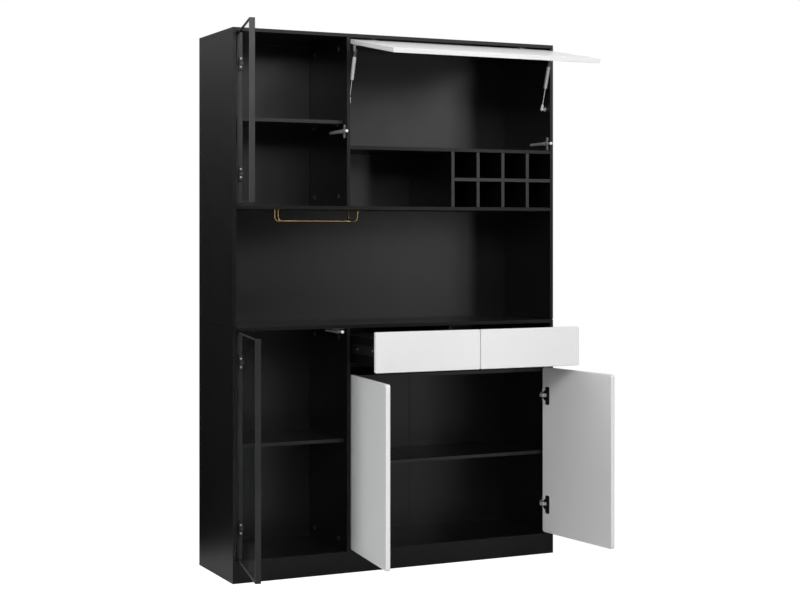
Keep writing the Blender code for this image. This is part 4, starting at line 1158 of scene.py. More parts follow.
@dataclass(frozen=True)
class HingeArm:
    """The fixed half of a hinge: a cranked arm and its cross plate."""

    offset: float
    depth: float
    lean_deg: float
    nose: float
    elbow_offset: float
    elbow_depth: float
    height: float = 0.011
    thickness: float = 0.002
    bend: float = 0.0016
    eye: float = 0.0026
    bore: float = 0.0013
    seat_offset: float = 0.008
    step: float = 0.004
    reach: float = 0.034
    base: float = 0.0003
    saddle_share: float = 0.4
    plate_screw_inset: float = 0.006
    front_screw_inset: float = 0.006
    rear_screw_inset: float = 0.010
    plate_length: float = 0.034
    plate_height: float = 0.044
    plate_waist: float = 0.016
    plate_thickness: float = 0.0025

    def shapes(self) -> tuple[Shape, Shape]:
        """Returns the arm with its plate, and the screws, in the hinge's own frame."""
        lean, half = math.radians(self.lean_deg), self.height / 2
        pivot = Vector((self.offset, self.depth, 0.0))
        tip = pivot + self.nose * Vector((math.sin(lean), math.cos(lean), 0.0))
        seat, deep = self.seat_offset, self.elbow_depth
        corners = [pivot, tip, (self.elbow_offset, deep, 0.0), (seat + self.step, deep, 0.0),
                   (seat, deep + self.step, 0.0), (seat, deep + self.reach, 0.0)]
        path = [Vector((p.x, p.y)) for p in eased(corners, self.bend, 5)]
        arm = Shape().plate(strip_outline(path, self.thickness), -half, half, edge=0.0003)
        # The eye is a ring round the pin; it closes on the strip's end.
        arm.lathe([(self.bore, -half), (self.eye, -half), (self.eye, half), (self.bore, half)],
                  (self.offset, self.depth, 0.0), sides=24, ring=True)
        front = deep + self.step
        rear = front + self.plate_length
        middle, waist, wing = (front + rear) / 2, self.plate_waist / 2, self.plate_height / 2
        outline = [(front, -waist), (front, waist), (middle - waist, waist), (middle - waist, wing),
                   (middle + waist, wing), (middle + waist, waist), (rear, waist), (rear, -waist),
                   (middle + waist, -waist), (middle + waist, -wing), (middle - waist, -wing),
                   (middle - waist, -waist)]
        top = self.base + self.plate_thickness
        arm.plate(rounded(outline, 0.0025, 4), self.base, top, Plane.YZ, edge=0.0005)
        arm.block((self.plate_thickness / 2, front + self.step, -self.saddle_share * self.height),
                  (self.seat_offset, rear - self.step, self.saddle_share * self.height), 0.0006)
        screws, face = Shape(), seat + self.thickness / 2
        for z in (-wing + self.plate_screw_inset, wing - self.plate_screw_inset):
            screws.add(Screw(0.0034).shape(), axis_frame((top, middle, z), ALONG_X))
        for y, radius in ((front + self.front_screw_inset, 0.0024), (rear - self.rear_screw_inset, 0.0032)):
            screws.add(Screw(radius, 0.001).shape(), axis_frame((face, y, 0.0), ALONG_X))
        return arm, screws


@dataclass
class HingeCup:
    """The cup of a hinge, sunk into a white front."""

    bore: float = 0.0175
    bore_depth: float = 0.012
    wall: float = 0.0011
    rim: float = 0.019
    edge_distance: float = 0.004
    flange_height: float = 0.064
    flange_width: float = 0.023
    flange_shift: float = 0.0085
    flange_corner: float = 0.004
    flange_thickness: float = 0.0012
    axis_offset: float = 0.0135
    axis_depth: float = 0.0075
    pin: float = 0.0011
    slot: float = 0.007
    slot_overcut: float = 0.003
    cutter_reach: float = 0.030
    screw_inset: float = 0.008

    def centre(self, plan: Plan) -> float:
        """Returns the cup centre's distance from the carrying board."""
        return plan.front_gap + self.edge_distance + self.bore

    def hollow(self, plan: Plan) -> Shape:
        """Returns the bore that a front needs for the cup."""
        floor = plan.front_thickness - self.bore_depth
        return Shape().pin(self.bore, floor, self.cutter_reach, (self.centre(plan), 0.0, 0.0), ALONG_Y, 48)

    def shapes(self, plan: Plan) -> tuple[Shape, Shape]:
        """Returns the cup and its screws, in the hinge's own frame.

        Args:
            plan: The shared sizes.

        Returns:
            The cup, and the two screws of its flange.
        """
        centre, face = self.centre(plan), plan.front_thickness
        floor = face - self.bore_depth
        r, w, t = self.bore - 0.0001, self.wall, self.flange_thickness
        top = face + t
        middle = (centre, 0.0, 0.0)
        cup = Shape().lathe([(0.0, floor), (r - 0.0015, floor), (r, floor + 0.0015), (r, face), (self.rim, face),
                             (self.rim, face + t * 0.7), (self.rim - 0.0006, top + 0.0002),
                             (r - w + 0.0004, top + 0.0002), (r - w, top - 0.0006), (r - w, floor + w + 0.001),
                             (r - w - 0.001, floor + w), (0.0, floor + w)], middle, ALONG_Y, 48)
        half, wing, corner = self.flange_height / 2, self.flange_width / 2, self.flange_corner
        line = centre + self.flange_shift
        outline = [(line - wing, corner - half), (line - wing + corner, -half), (line + wing - corner, -half),
                   (line + wing, corner - half), (line + wing, half - corner), (line + wing - corner, half),
                   (line - wing + corner, half), (line - wing, half - corner)]
        flange = Shape().plate(rounded(outline, 0.0015, 3), face, top, Plane.XZ, edge=0.0004)
        flange = flange.cut(Shape().pin(self.rim - 0.0004, 0.0, self.cutter_reach, middle, ALONG_Y, 48))
        notch = Shape().block((plan.front_gap + self.edge_distance - self.slot_overcut, self.axis_depth, -self.slot),
                              (centre, self.cutter_reach, self.slot))
        cup = cup.cut(notch).add(flange.cut(notch))
        across = centre - self.axis_offset
        reach = math.sqrt((self.bore - w / 2) ** 2 - across ** 2)
        cup.pin(self.pin, -reach, reach, (self.axis_offset, self.axis_depth, 0.0))
        screws = Shape()
        for z in (-half + self.screw_inset, half - self.screw_inset):
            screws.add(Screw(0.0033).shape(), axis_frame((line, top, z), ALONG_Y))
        return cup, screws


@dataclass
class Hinging(Part):
    """A set of hinges along one edge of a front."""

    body: Body
    names: tuple[str, str]
    places: tuple[Matrix, ...]

    def add_arms(self, arm: HingeArm, finish: Finish, screw_finish: Finish) -> None:
        """Makes the fixed halves on the cabinet.

        Args:
            arm: The arm's sizes.
            finish: The arm's finish.
            screw_finish: Its screws' finish.
        """
        shape, screws = arm.shapes()
        for name, place in zip(self.names, self.places):
            node = name + "_hinge_arm"
            self.bench.piece(node + "_plate", shape, finish, Body.CABINET, place, [node])
            self.bench.piece(node + "_screws", screws, screw_finish, Body.CABINET, place)

    def add_cups(self, cup: HingeCup, opened: Matrix) -> None:
        """Makes the cups on the front.

        Args:
            cup: The cup's sizes.
            opened: The matrix of the front at rest.
        """
        shape, screws = cup.shapes(self.plan)
        for name, place in zip(self.names, self.places):
            self.bench.piece(name + "_hinge_cup", shape, self.bench.palette.black_zinc, self.body, opened @ place)
            self.bench.piece(name + "_cup_screws", screws, self.bench.palette.black_zinc, self.body, opened @ place)


CUP_ARM = HingeArm(0.0135, 0.0075, 77.0, 0.010, 0.030, 0.023)
SHOE_ARM = HingeArm(0.016, 0.009, 80.0, 0.0125, 0.034, 0.0275)


# ---------------------------------------------------------------- white fronts


@dataclass
class WhiteFront:
    """A white board with rounded corners and edges and bores for its cups."""

    bench: Bench
    name: str
    body: Body
    low: Point
    high: Point
    corner: float = 0.009
    rounding: float = 0.003
    steps: int = 6

    def build(self, opened: Matrix, bores: Sequence[Shape] = ()) -> None:
        """Makes the board in its open place.

        Args:
            opened: The matrix of the front at rest.
            bores: What is cut from the closed board.
        """
        (low_x, low_y, low_z), (high_x, high_y, high_z) = self.low, self.high
        outline = rounded(rectangle((low_x, low_z), (high_x, high_z)), self.corner, 8)
        shape = Shape().plate(outline, low_y, high_y, Plane.XZ, self.rounding, self.steps)
        for bore in bores:
            shape = shape.cut(bore)
        self.bench.piece(self.name + "_panel", shape, self.bench.palette.white, self.body, opened, [self.name])


@dataclass
class WhiteDoors(Part):
    """The pair of doors under the drawers."""

    left_open_deg: float = 96.7
    right_open_deg: float = 96.4
    top: float = 0.659
    cup: HingeCup = field(default_factory=HingeCup)

    def build(self) -> None:
        """Makes both doors with their hinges."""
        plan = self.plan
        width = (plan.inner_right - plan.divider_right - 2 * plan.front_gap - plan.pair_gap) / 2
        low, high = plan.bottom_top + plan.front_gap, self.top
        doors = (("left_door", plan.divider_right, 1, self.left_open_deg, Body.LEFT_DOOR),
                 ("right_door", plan.inner_right, -1, self.right_open_deg, Body.RIGHT_DOOR))
        for name, wall, way, degrees, body in doors:
            pivot = Vector((wall + way * self.cup.axis_offset, plan.front + self.cup.axis_depth, 0.0))
            opened = swung(pivot, "Z", -way * degrees)
            ends = sorted((wall + way * plan.front_gap, wall + way * (plan.front_gap + width)))
            places = plan.on_wall(wall, way, low, high)
            bores = [Shape().add(self.cup.hollow(plan), place) for place in places]
            WhiteFront(self.bench, name, body, (ends[0], plan.front, low),
                       (ends[1], plan.front + plan.front_thickness, high)).build(opened, bores)
            hinging = Hinging(self.bench, plan, body, (name + "_lower", name + "_upper"), places)
            hinging.add_arms(CUP_ARM, self.bench.palette.steel, self.bench.palette.screw)
            hinging.add_cups(self.cup, opened)


@dataclass(frozen=True)
class StrutSeats:
    """Where a strut's studs stand, from the front plane, the top panel and the board beside it."""

    side_offset: float = 0.012
    wall_depth: float = 0.037
    wall_drop: float = 0.213
    flap_depth: float = 0.016
    flap_drop: float = 0.045
    eye_width: float = 0.008
    stud: float = 0.003
    stud_proud: float = 0.0015
    stud_ease: float = 0.0008

    def wall(self, plan: Plan) -> Vector:
        """Returns the stud on the board, without its place along the width."""
        return Vector((0.0, plan.front + self.wall_depth, plan.top_underside - self.wall_drop))

    def head(self, plan: Plan) -> Vector:
        """Returns the stud on the open flap, without its place along the width."""
        return Vector((0.0, plan.front - self.flap_depth, plan.top_underside - self.flap_drop))


@dataclass
class LiftFlap(Part):
    """The flap under the top panel and the brackets of its struts."""

    open_deg: float = 79.5
    cup: HingeCup = field(default_factory=HingeCup)
    corner: float = 0.002
    rounding: float = 0.0012
    seats: StrutSeats = StrutSeats()
    bracket_length: float = 0.030
    bracket_width: float = 0.014
    bracket_thickness: float = 0.002
    bracket_corner: float = 0.003
    bracket_edge: float = 0.0004
    web: float = 0.002
    ear: float = 0.005
    ear_flare: float = 0.003
    screw_shift: float = 0.004
    screw_spread: float = 0.011

    def opened(self) -> Matrix:
        """Returns the matrix of the flap at rest."""
        pivot = Vector((0.0, self.plan.front + self.cup.axis_depth, self.plan.top_underside - self.cup.axis_offset))
        return swung(pivot, "X", -self.open_deg)

    def strut_point(self) -> Vector:
        """Returns the strut's axis on the closed flap."""
        return self.opened().inverted() @ self.seats.head(self.plan)

    def bracket(self, centre_x: float, way: int) -> Shape:
        """Returns one bracket on the closed flap.

        Args:
            centre_x: The strut's place along the width.
            way: 1 where the ear is right of the strut, -1 where it is left.

        Returns:
            The bracket.
        """
        seats, place, face = self.seats, self.strut_point(), self.plan.front + self.plan.front_thickness
        ear_x = centre_x + way * (seats.eye_width / 2 + self.plan.seat)
        ends = sorted((ear_x, ear_x + way * self.web))
        sides = sorted((ear_x + way * self.web, ear_x - way * self.bracket_width))
        half, ear, flare = self.bracket_length / 2, self.ear, self.ear_flare
        outline = rectangle((sides[0], place.z - half), (sides[1], place.z + half))
        shape = Shape().plate(rounded(outline, self.bracket_corner), face, face + self.bracket_thickness, Plane.XZ,
                              edge=self.bracket_edge)
        web = [(face + 0.001, place.z - ear - flare), (place.y + ear, place.z - ear),
               (place.y + ear, place.z + ear), (face + 0.001, place.z + ear + flare)]
        shape.plate(rounded(web, self.bracket_corner, 5), ends[0], ends[1], Plane.YZ, edge=self.bracket_edge)
        end = centre_x - way * (seats.eye_width / 2 + seats.stud_proud)
        start = ear_x + way * self.web / 2
        reach, stud, ease = abs(end - start), seats.stud, seats.stud_ease
        shape.lathe([(0.0, 0.0), (stud, 0.0), (stud, reach - ease), (stud - ease, reach), (0.0, reach)],
                    (start, place.y, place.z), (-way, 0.0, 0.0), 24)
        return shape

    def build(self) -> None:
        """Makes the flap, its hinges and its brackets."""
        plan, opened = self.plan, self.opened()
        places = tuple(plan.ceiling(x) for x in (plan.divider_right + plan.hinge_inset,
                                                 plan.inner_right - plan.hinge_inset))
        bores = [Shape().add(self.cup.hollow(plan), place) for place in places]
        low = (plan.divider_right + plan.front_gap, plan.front, plan.flap_shelf_top + plan.front_gap)
        high = (plan.inner_right - plan.front_gap, plan.front + plan.front_thickness,
                plan.top_underside - plan.front_gap)
        WhiteFront(self.bench, "flap", Body.FLAP, low, high, self.corner, self.rounding).build(opened, bores)
        hinging = Hinging(self.bench, plan, Body.FLAP, ("flap_left", "flap_right"), places)
        hinging.add_arms(CUP_ARM, self.bench.palette.steel, self.bench.palette.screw)
        hinging.add_cups(self.cup, opened)
        brackets, screws = Shape(), Shape()
        place, offset = self.strut_point(), self.seats.side_offset
        top = plan.front + plan.front_thickness + self.bracket_thickness
        for centre, way in ((plan.divider_right + offset, -1), (plan.inner_right - offset, 1)):
            brackets.add(self.bracket(centre, way))
            x = centre - way * self.screw_shift
            for z in (place.z - self.screw_spread, place.z + self.screw_spread):
                screws.add(Screw(0.0028).shape(), axis_frame((x, top, z), ALONG_Y))
        self.bench.piece("flap_strut_brackets", brackets, self.bench.palette.steel, Body.FLAP, opened)
        self.bench.piece("flap_bracket_screws", screws, self.bench.palette.screw, Body.FLAP, opened)


@dataclass
class GasStruts(Part):
    """The two gas struts of the flap, each a rod in a cylinder."""

    seats: StrutSeats = StrutSeats()
    cylinder: float = 0.0065
    cylinder_wall: float = 0.001
    cylinder_start: float = 0.021
    cylinder_length: float = 0.079
    neck: float = 0.0042
    rod: float = 0.0025
    insertion: float = 0.017
    eye: float = 0.0055
    eye_bore: float = 0.0033
    ease: float = 0.0006
    flange_screw_circle: float = 0.0065
    flange_screw_angles: Point = (0.5, 2.6, 4.7)

    def socket(self) -> Shape:
        """Returns the plastic socket at a strut's end, round the stud's axis."""
        half, eye, ease = self.seats.eye_width / 2, self.eye, self.ease
        return Shape().lathe([(self.eye_bore, -half), (eye - ease, -half), (eye, -half + ease), (eye, half - ease),
                              (eye - ease, half), (self.eye_bore, half)], axis=ALONG_X, ring=True)

    def lower_end(self, top: float) -> tuple[Shape, Shape]:
        """Returns the rod, and the socket at its foot.

        Args:
            top: The rod's length from the socket's axis.

        Returns:
            The rod and its socket.
        """
        bar = Shape().lathe([(0.0, 0.012), (self.rod, 0.012), (self.rod, top - 0.0006), (self.rod - 0.0006, top),
                             (0.0, top)], sides=24)
        socket = self.socket().lathe([(0.0, self.eye_bore + 0.0006), (0.0042, self.eye_bore + 0.0006), (0.0045, 0.008),
                                      (0.0042, 0.015), (0.0034, 0.0165), (0.0, 0.0165)], sides=32)
        return bar, socket

    def upper_end(self) -> tuple[Shape, Shape]:
        """Returns the cylinder, and the socket at its head."""
        r, start = self.cylinder, self.cylinder_start
        end, wall = start + self.cylinder_length, self.cylinder_wall
        tube = Shape().lathe([(0.0, start), (r - 0.002, start), (r, start + 0.0025), (r, end - 0.004),
                              (r - 0.0004, end - 0.0032), (r, end - 0.0024), (r, end - 0.001), (r - 0.001, end),
                              (r - wall - 0.0004, end), (r - wall, end - 0.001), (r - wall, start + 0.009),
                              (0.0, start + 0.009)], axis=(0.0, 0.0, -1.0), sides=40)
        neck = self.socket().lathe([(0.0, self.eye_bore + 0.0006), (self.neck, self.eye_bore + 0.0006),
                                    (self.neck, start * 0.45), (self.neck + 0.0012, start * 0.5),
                                    (self.neck + 0.0012, start + 0.0005), (0.0, start + 0.0005)],
                                   axis=(0.0, 0.0, -1.0), sides=32)
        return tube, neck

    def build(self) -> None:
        """Makes both struts with their wall brackets."""
        plan, palette = self.plan, self.bench.palette
        wall, head = self.seats.wall(plan), self.seats.head(plan)
        lean = math.atan2(wall.y - head.y, head.z - wall.z)
        length = (head - wall).length
        bar, foot = self.lower_end(length - self.cylinder_start - self.cylinder_length + self.insertion)
        tube, neck = self.upper_end()
        sides = (("left", plan.divider_right, 1, Body.LEFT_ROD, Body.LEFT_CYLINDER),
                 ("right", plan.inner_right, -1, Body.RIGHT_ROD, Body.RIGHT_CYLINDER))
        for side, face, way, rod_body, cylinder_body in sides:
            across = Vector((face + way * self.seats.side_offset, 0.0, 0.0))
            low = Matrix.Translation(wall + across) @ Matrix.Rotation(lean, 4, "X")
            high = Matrix.Translation(head + across) @ Matrix.Rotation(lean, 4, "X")
            self.bench.piece(side + "_strut_ground_rod", bar, palette.chrome, rod_body, low, [side + "_strut_rod"])
            self.bench.piece(side + "_strut_foot", foot, palette.tip, rod_body, low)
            self.bench.piece(side + "_strut_tube", tube, palette.tube, cylinder_body, high,
                             [side + "_strut_cylinder"])
            self.bench.piece(side + "_strut_neck", neck, palette.fitting, cylinder_body, high)
            self.bench.piece(side + "_strut_wall_stud", self.wall_bracket(face, way, wall), palette.steel,
                             Body.CABINET, None, [side + "_strut_wall_bracket"])

    def wall_bracket(self, face: float, way: int, wall: Vector) -> Shape:
        """Returns the round plate and stud at a strut's foot.

        Args:
            face: The board's face.
            way: The direction away from it along X.
            wall: The stud's axis.

        Returns:
            The bracket.
        """
        seats, base, out = self.seats, face + way * self.plan.seat, (float(way), 0.0, 0.0)
        stud, ease, circle_radius = seats.stud, seats.stud_ease, self.flange_screw_circle
        reach = seats.side_offset + seats.eye_width / 2 + seats.stud_proud
        bracket = Shape().lathe([(0.0, 0.0), (0.009, 0.0), (0.009, 0.0014), (0.0084, 0.002), (0.0045, 0.002),
                                 (0.0042, 0.0055), (stud + 0.0002, 0.006), (stud, 0.0066), (stud, reach - ease),
                                 (stud - ease, reach), (0.0, reach)], (base, wall.y, wall.z), out, 36)
        for angle in self.flange_screw_angles:
            spot = (base + way * 0.002, wall.y + circle_radius * math.cos(angle),
                    wall.z + circle_radius * math.sin(angle))
            bracket.add(Screw(0.0017, 0.0006).shape(), axis_frame(spot, out))
        return bracket


# ---------------------------------------------------------------- glass doors


@dataclass
class GlassDoor(Part):
    """A slim-framed glass door with shoes for its hinges."""

    name: str
    body: Body
    low: float
    high: float
    open_deg: float
    latch_height: float
    thickness: float = 0.018
    face: float = 0.006
    rail_face: float = 0.005
    rail_depth: float = 0.0065
    bevel: float = 0.0006
    glass: float = 0.004
    setback: float = 0.001
    groove: float = 0.002
    axis_offset: float = 0.016
    axis_depth: float = 0.009
    shoe_height: float = 0.046
    shoe_length: float = 0.012
    slot: float = 0.007
    pin: float = 0.0011
    pin_sunk: float = 0.001
    shoe_screw_spread: float = 0.0135
    strike_edges: Flat = (0.0056, 0.0004)
    strike_half: float = 0.009

    def bar(self, height: float, depth: float) -> list[Flat]:
        """Returns a bar's section with its groove for the glass.

        Args:
            height: The bar's height in the door's plane.
            depth: Its depth from the door's face.

        Returns:
            The section's points, outwards from the door's edge.
        """
        groove, rear, b = self.face - self.groove, self.setback + self.glass, self.bevel
        return [(0.0, b), (b, 0.0), (height - b, 0.0), (height, b), (height, self.setback), (groove, self.setback),
                (groove, rear), (height, rear), (height, depth - b), (height - b, depth), (b, depth), (0.0, depth - b)]

    def bars(self, left: float, right: float) -> Shape:
        """Returns the deep stiles and the slim rails between them.

        Args:
            left: The frame's left edge.
            right: Its right edge.

        Returns:
            The bars.
        """
        front, shape = self.plan.front, Shape()
        for x, way in ((left, 1), (right, -1)):
            section = [(x + way * a, front + y) for a, y in self.bar(self.face, self.thickness)]
            shape.plate(section, self.low, self.high, Plane.XY, self.bevel)
        for z, way in ((self.low, 1), (self.high, -1)):
            section = [(front + y, z + way * a) for a, y in self.bar(self.rail_face, self.rail_depth)]
            shape.plate(section, left + self.face - self.bevel, right - self.face + self.bevel, Plane.YZ)
        return shape

    def shoes(self) -> tuple[Shape, Shape]:
        """Returns one hinge shoe and its screws, in the hinge's own frame."""
        low, front = self.plan.front_gap + self.face, self.setback + self.glass + 0.0003
        high, back, half = low + self.shoe_length, self.thickness - 0.0005, self.shoe_height / 2
        shoe = Shape().block((low - 0.0001, front, -half), (high, back, half), 0.0008, 3)
        shoe = shoe.cut(Shape().block((low + 0.0004, front + 0.001, -self.slot),
                                      (high + 0.002, back + 0.002, self.slot)))
        reach = self.slot + self.pin_sunk
        shoe.pin(self.pin, -reach, reach, (self.axis_offset, self.axis_depth, 0.0))
        screws = Shape()
        for z in (-self.shoe_screw_spread, self.shoe_screw_spread):
            screws.add(Screw(0.0034, 0.0009).shape(), axis_frame((high, (front + back) / 2, z), ALONG_X))
        return shoe, screws

    def build(self) -> None:
        """Makes the door with its hinges."""
        plan, bench, palette = self.plan, self.bench, self.bench.palette
        left, right = plan.inner_left + plan.front_gap, plan.divider_left - plan.front_gap
        pivot = Vector((plan.inner_left + self.axis_offset, plan.front + self.axis_depth, 0.0))
        opened = swung(pivot, "Z", -self.open_deg)
        bench.piece(self.name + "_frame_bars", self.bars(left, right), palette.frame, self.body, opened,
                    [self.name + "_frame"])
        inset, y = self.face - self.groove + plan.seat, plan.front + self.setback + plan.seat
        pane = Shape().block((left + inset, y, self.low + inset),
                             (right - inset, y + self.glass - 2 * plan.seat, self.high - inset), 0.0002, 1)
        bench.piece(self.name + "_pane_glass", pane, palette.glass, self.body, opened, [self.name + "_pane"])
        places = plan.on_wall(plan.inner_left, 1, self.low, self.high)
        shoe, screws = self.shoes()
        for level, place in zip(("lower", "upper"), places):
            bench.piece(f"{self.name}_{level}_hinge_shoe", shoe, palette.frame, self.body, opened @ place)
            bench.piece(f"{self.name}_{level}_shoe_screws", screws, palette.dull_screw, self.body, opened @ place)
        Hinging(bench, plan, self.body, (self.name + "_lower", self.name + "_upper"), places).add_arms(
            SHOE_ARM, palette.dark_steel, palette.dull_screw)
        back, (outer, inner), half = plan.front + self.thickness, self.strike_edges, self.strike_half
        outline = rectangle((right - outer, self.latch_height - half), (right - inner, self.latch_height + half))
        strike = Shape().plate(rounded(outline, 0.0012), back, back + 0.0003, Plane.XZ)
        bench.piece(self.name + "_strike_plate", strike, palette.dark_steel, self.body, opened)


# ---------------------------------------------------------------- push latches


@dataclass
class PushLatches(Part):
    """The push latches of the glass doors and the flap."""

    travel: float = 0.038
    mouth_depth: float = 0.0195
    body_radius: float = 0.0065
    bore_radius: float = 0.0055
    body_length: float = 0.104
    floor: float = 0.004
    cross_height: float = 0.045
    cross_width: float = 0.012
    cross_thickness: float = 0.002
    cross_depth: float = 0.013
    screw_depth: float = 0.0087
    rib_width: float = 0.005
    tip_radius: float = 0.005
    tip_length: float = 0.008
    rod_radius: float = 0.003
    rod_length: float = 0.066
    collar_radius: float = 0.0052
    collar_length: float = 0.010
    touch_gap: float = 0.0005
    offset: float = 0.008
    lower_offset: float = 0.0105
    lower_shift: float = 0.0235
    screw_inset: float = 0.0055
    glass_door_thickness: float = 0.018

    def housing(self, offset: float) -> tuple[Shape, Shape]:
        """Returns a housing along +Y from its mouth and its screws.

        Args:
            offset: The axis's distance from the board, which is at -Z.

        Returns:
            The housing and the screws.
        """
        r, b, length = self.body_radius, self.bore_radius, self.body_length
        end = length - self.floor
        body = Shape().lathe([(0.0, length), (r * 0.55, length), (r * 0.8, length - 0.003), (r * 0.86, length * 0.5),
                              (r * 0.93, 0.012), (r, 0.011), (r, 0.001), (r - 0.0004, 0.0), (b + 0.0003, 0.0),
                              (b, 0.0006), (b, 0.012), (b * 0.965, 0.014), (b * 0.965, end), (0.0, end)],
                             axis=ALONG_Y, sides=40)
        near, half, seat = self.cross_depth - self.mouth_depth, self.cross_height / 2, self.plan.seat - offset
        far, top, rib = near + self.cross_width, seat + self.cross_thickness, self.rib_width / 2
        cross = rounded(rectangle((-half, near), (half, far)), 0.0035)
        body.plate(cross, seat, top, Plane.XY, edge=0.0004)
        body.block((-rib, self.plan.seat, seat + self.cross_thickness / 2),
                   (rib, far - self.plan.seat, -b - 0.0001), 0.0002, 1)
        screws = Shape()
        for x in (-half + self.screw_inset, half - self.screw_inset):
            screws.add(Screw(0.0030).shape(), axis_frame((x, near + self.screw_depth, top), ALONG_Z))
        return body, screws

    def plunger(self) -> tuple[Shape, Shape]:
        """Returns the tip, and the rod behind it, along +Y from the tip's front."""
        r, back, start = self.tip_radius, self.tip_length, self.rod_length - self.collar_length
        tip = Shape().lathe([(0.0, 0.0), (r - 0.0018, 0.0), (r - 0.0008, 0.0003), (r, 0.0012), (r, back - 0.0004),
                             (r - 0.0004, back), (0.0, back)], axis=ALONG_Y, sides=36)
        rod = Shape().lathe([(0.0, back), (self.rod_radius, back), (self.rod_radius, start),
                             (self.collar_radius, start), (self.collar_radius, self.rod_length),
                             (0.0, self.rod_length)], axis=ALONG_Y, sides=28)
        return tip, rod

    def build(self) -> None:
        """Makes the three latches."""
        plan, palette = self.plan, self.bench.palette
        upright, hanging = Matrix.Rotation(math.radians(-90), 4, "Y"), Matrix.Rotation(math.radians(180), 4, "Y")
        glass = self.glass_door_thickness
        latches = (("upper", plan.divider_left - self.offset, plan.upper_latch, self.offset, upright, glass,
                    Body.UPPER_PLUNGER),
                   ("lower", plan.divider_left - self.lower_shift, plan.lower_latch, self.lower_offset, hanging,
                    glass, Body.LOWER_PLUNGER),
                   ("flap", plan.inner_right - self.offset, plan.flap_latch, self.offset, upright,
                    plan.front_thickness, Body.FLAP_PLUNGER))
        tip, rod = self.plunger()
        for name, x, z, offset, turn, thickness, body in latches:
            housing, screws = self.housing(offset)
            place = Matrix.Translation((x, plan.front + self.mouth_depth, z)) @ turn
            self.bench.piece(name + "_latch_body", housing, palette.grey, Body.CABINET, place,
                             [name + "_latch_housing"])
            self.bench.piece(name + "_latch_screws", screws, palette.screw, Body.CABINET, place)
            start = Matrix.Translation((x, plan.front + thickness + self.touch_gap - self.travel, z))
            self.bench.piece(name + "_latch_tip", tip, palette.tip, body, start, [name + "_latch_plunger"])
            self.bench.piece(name + "_latch_rod", rod, palette.grey, body, start)


# ---------------------------------------------------------------- drawers


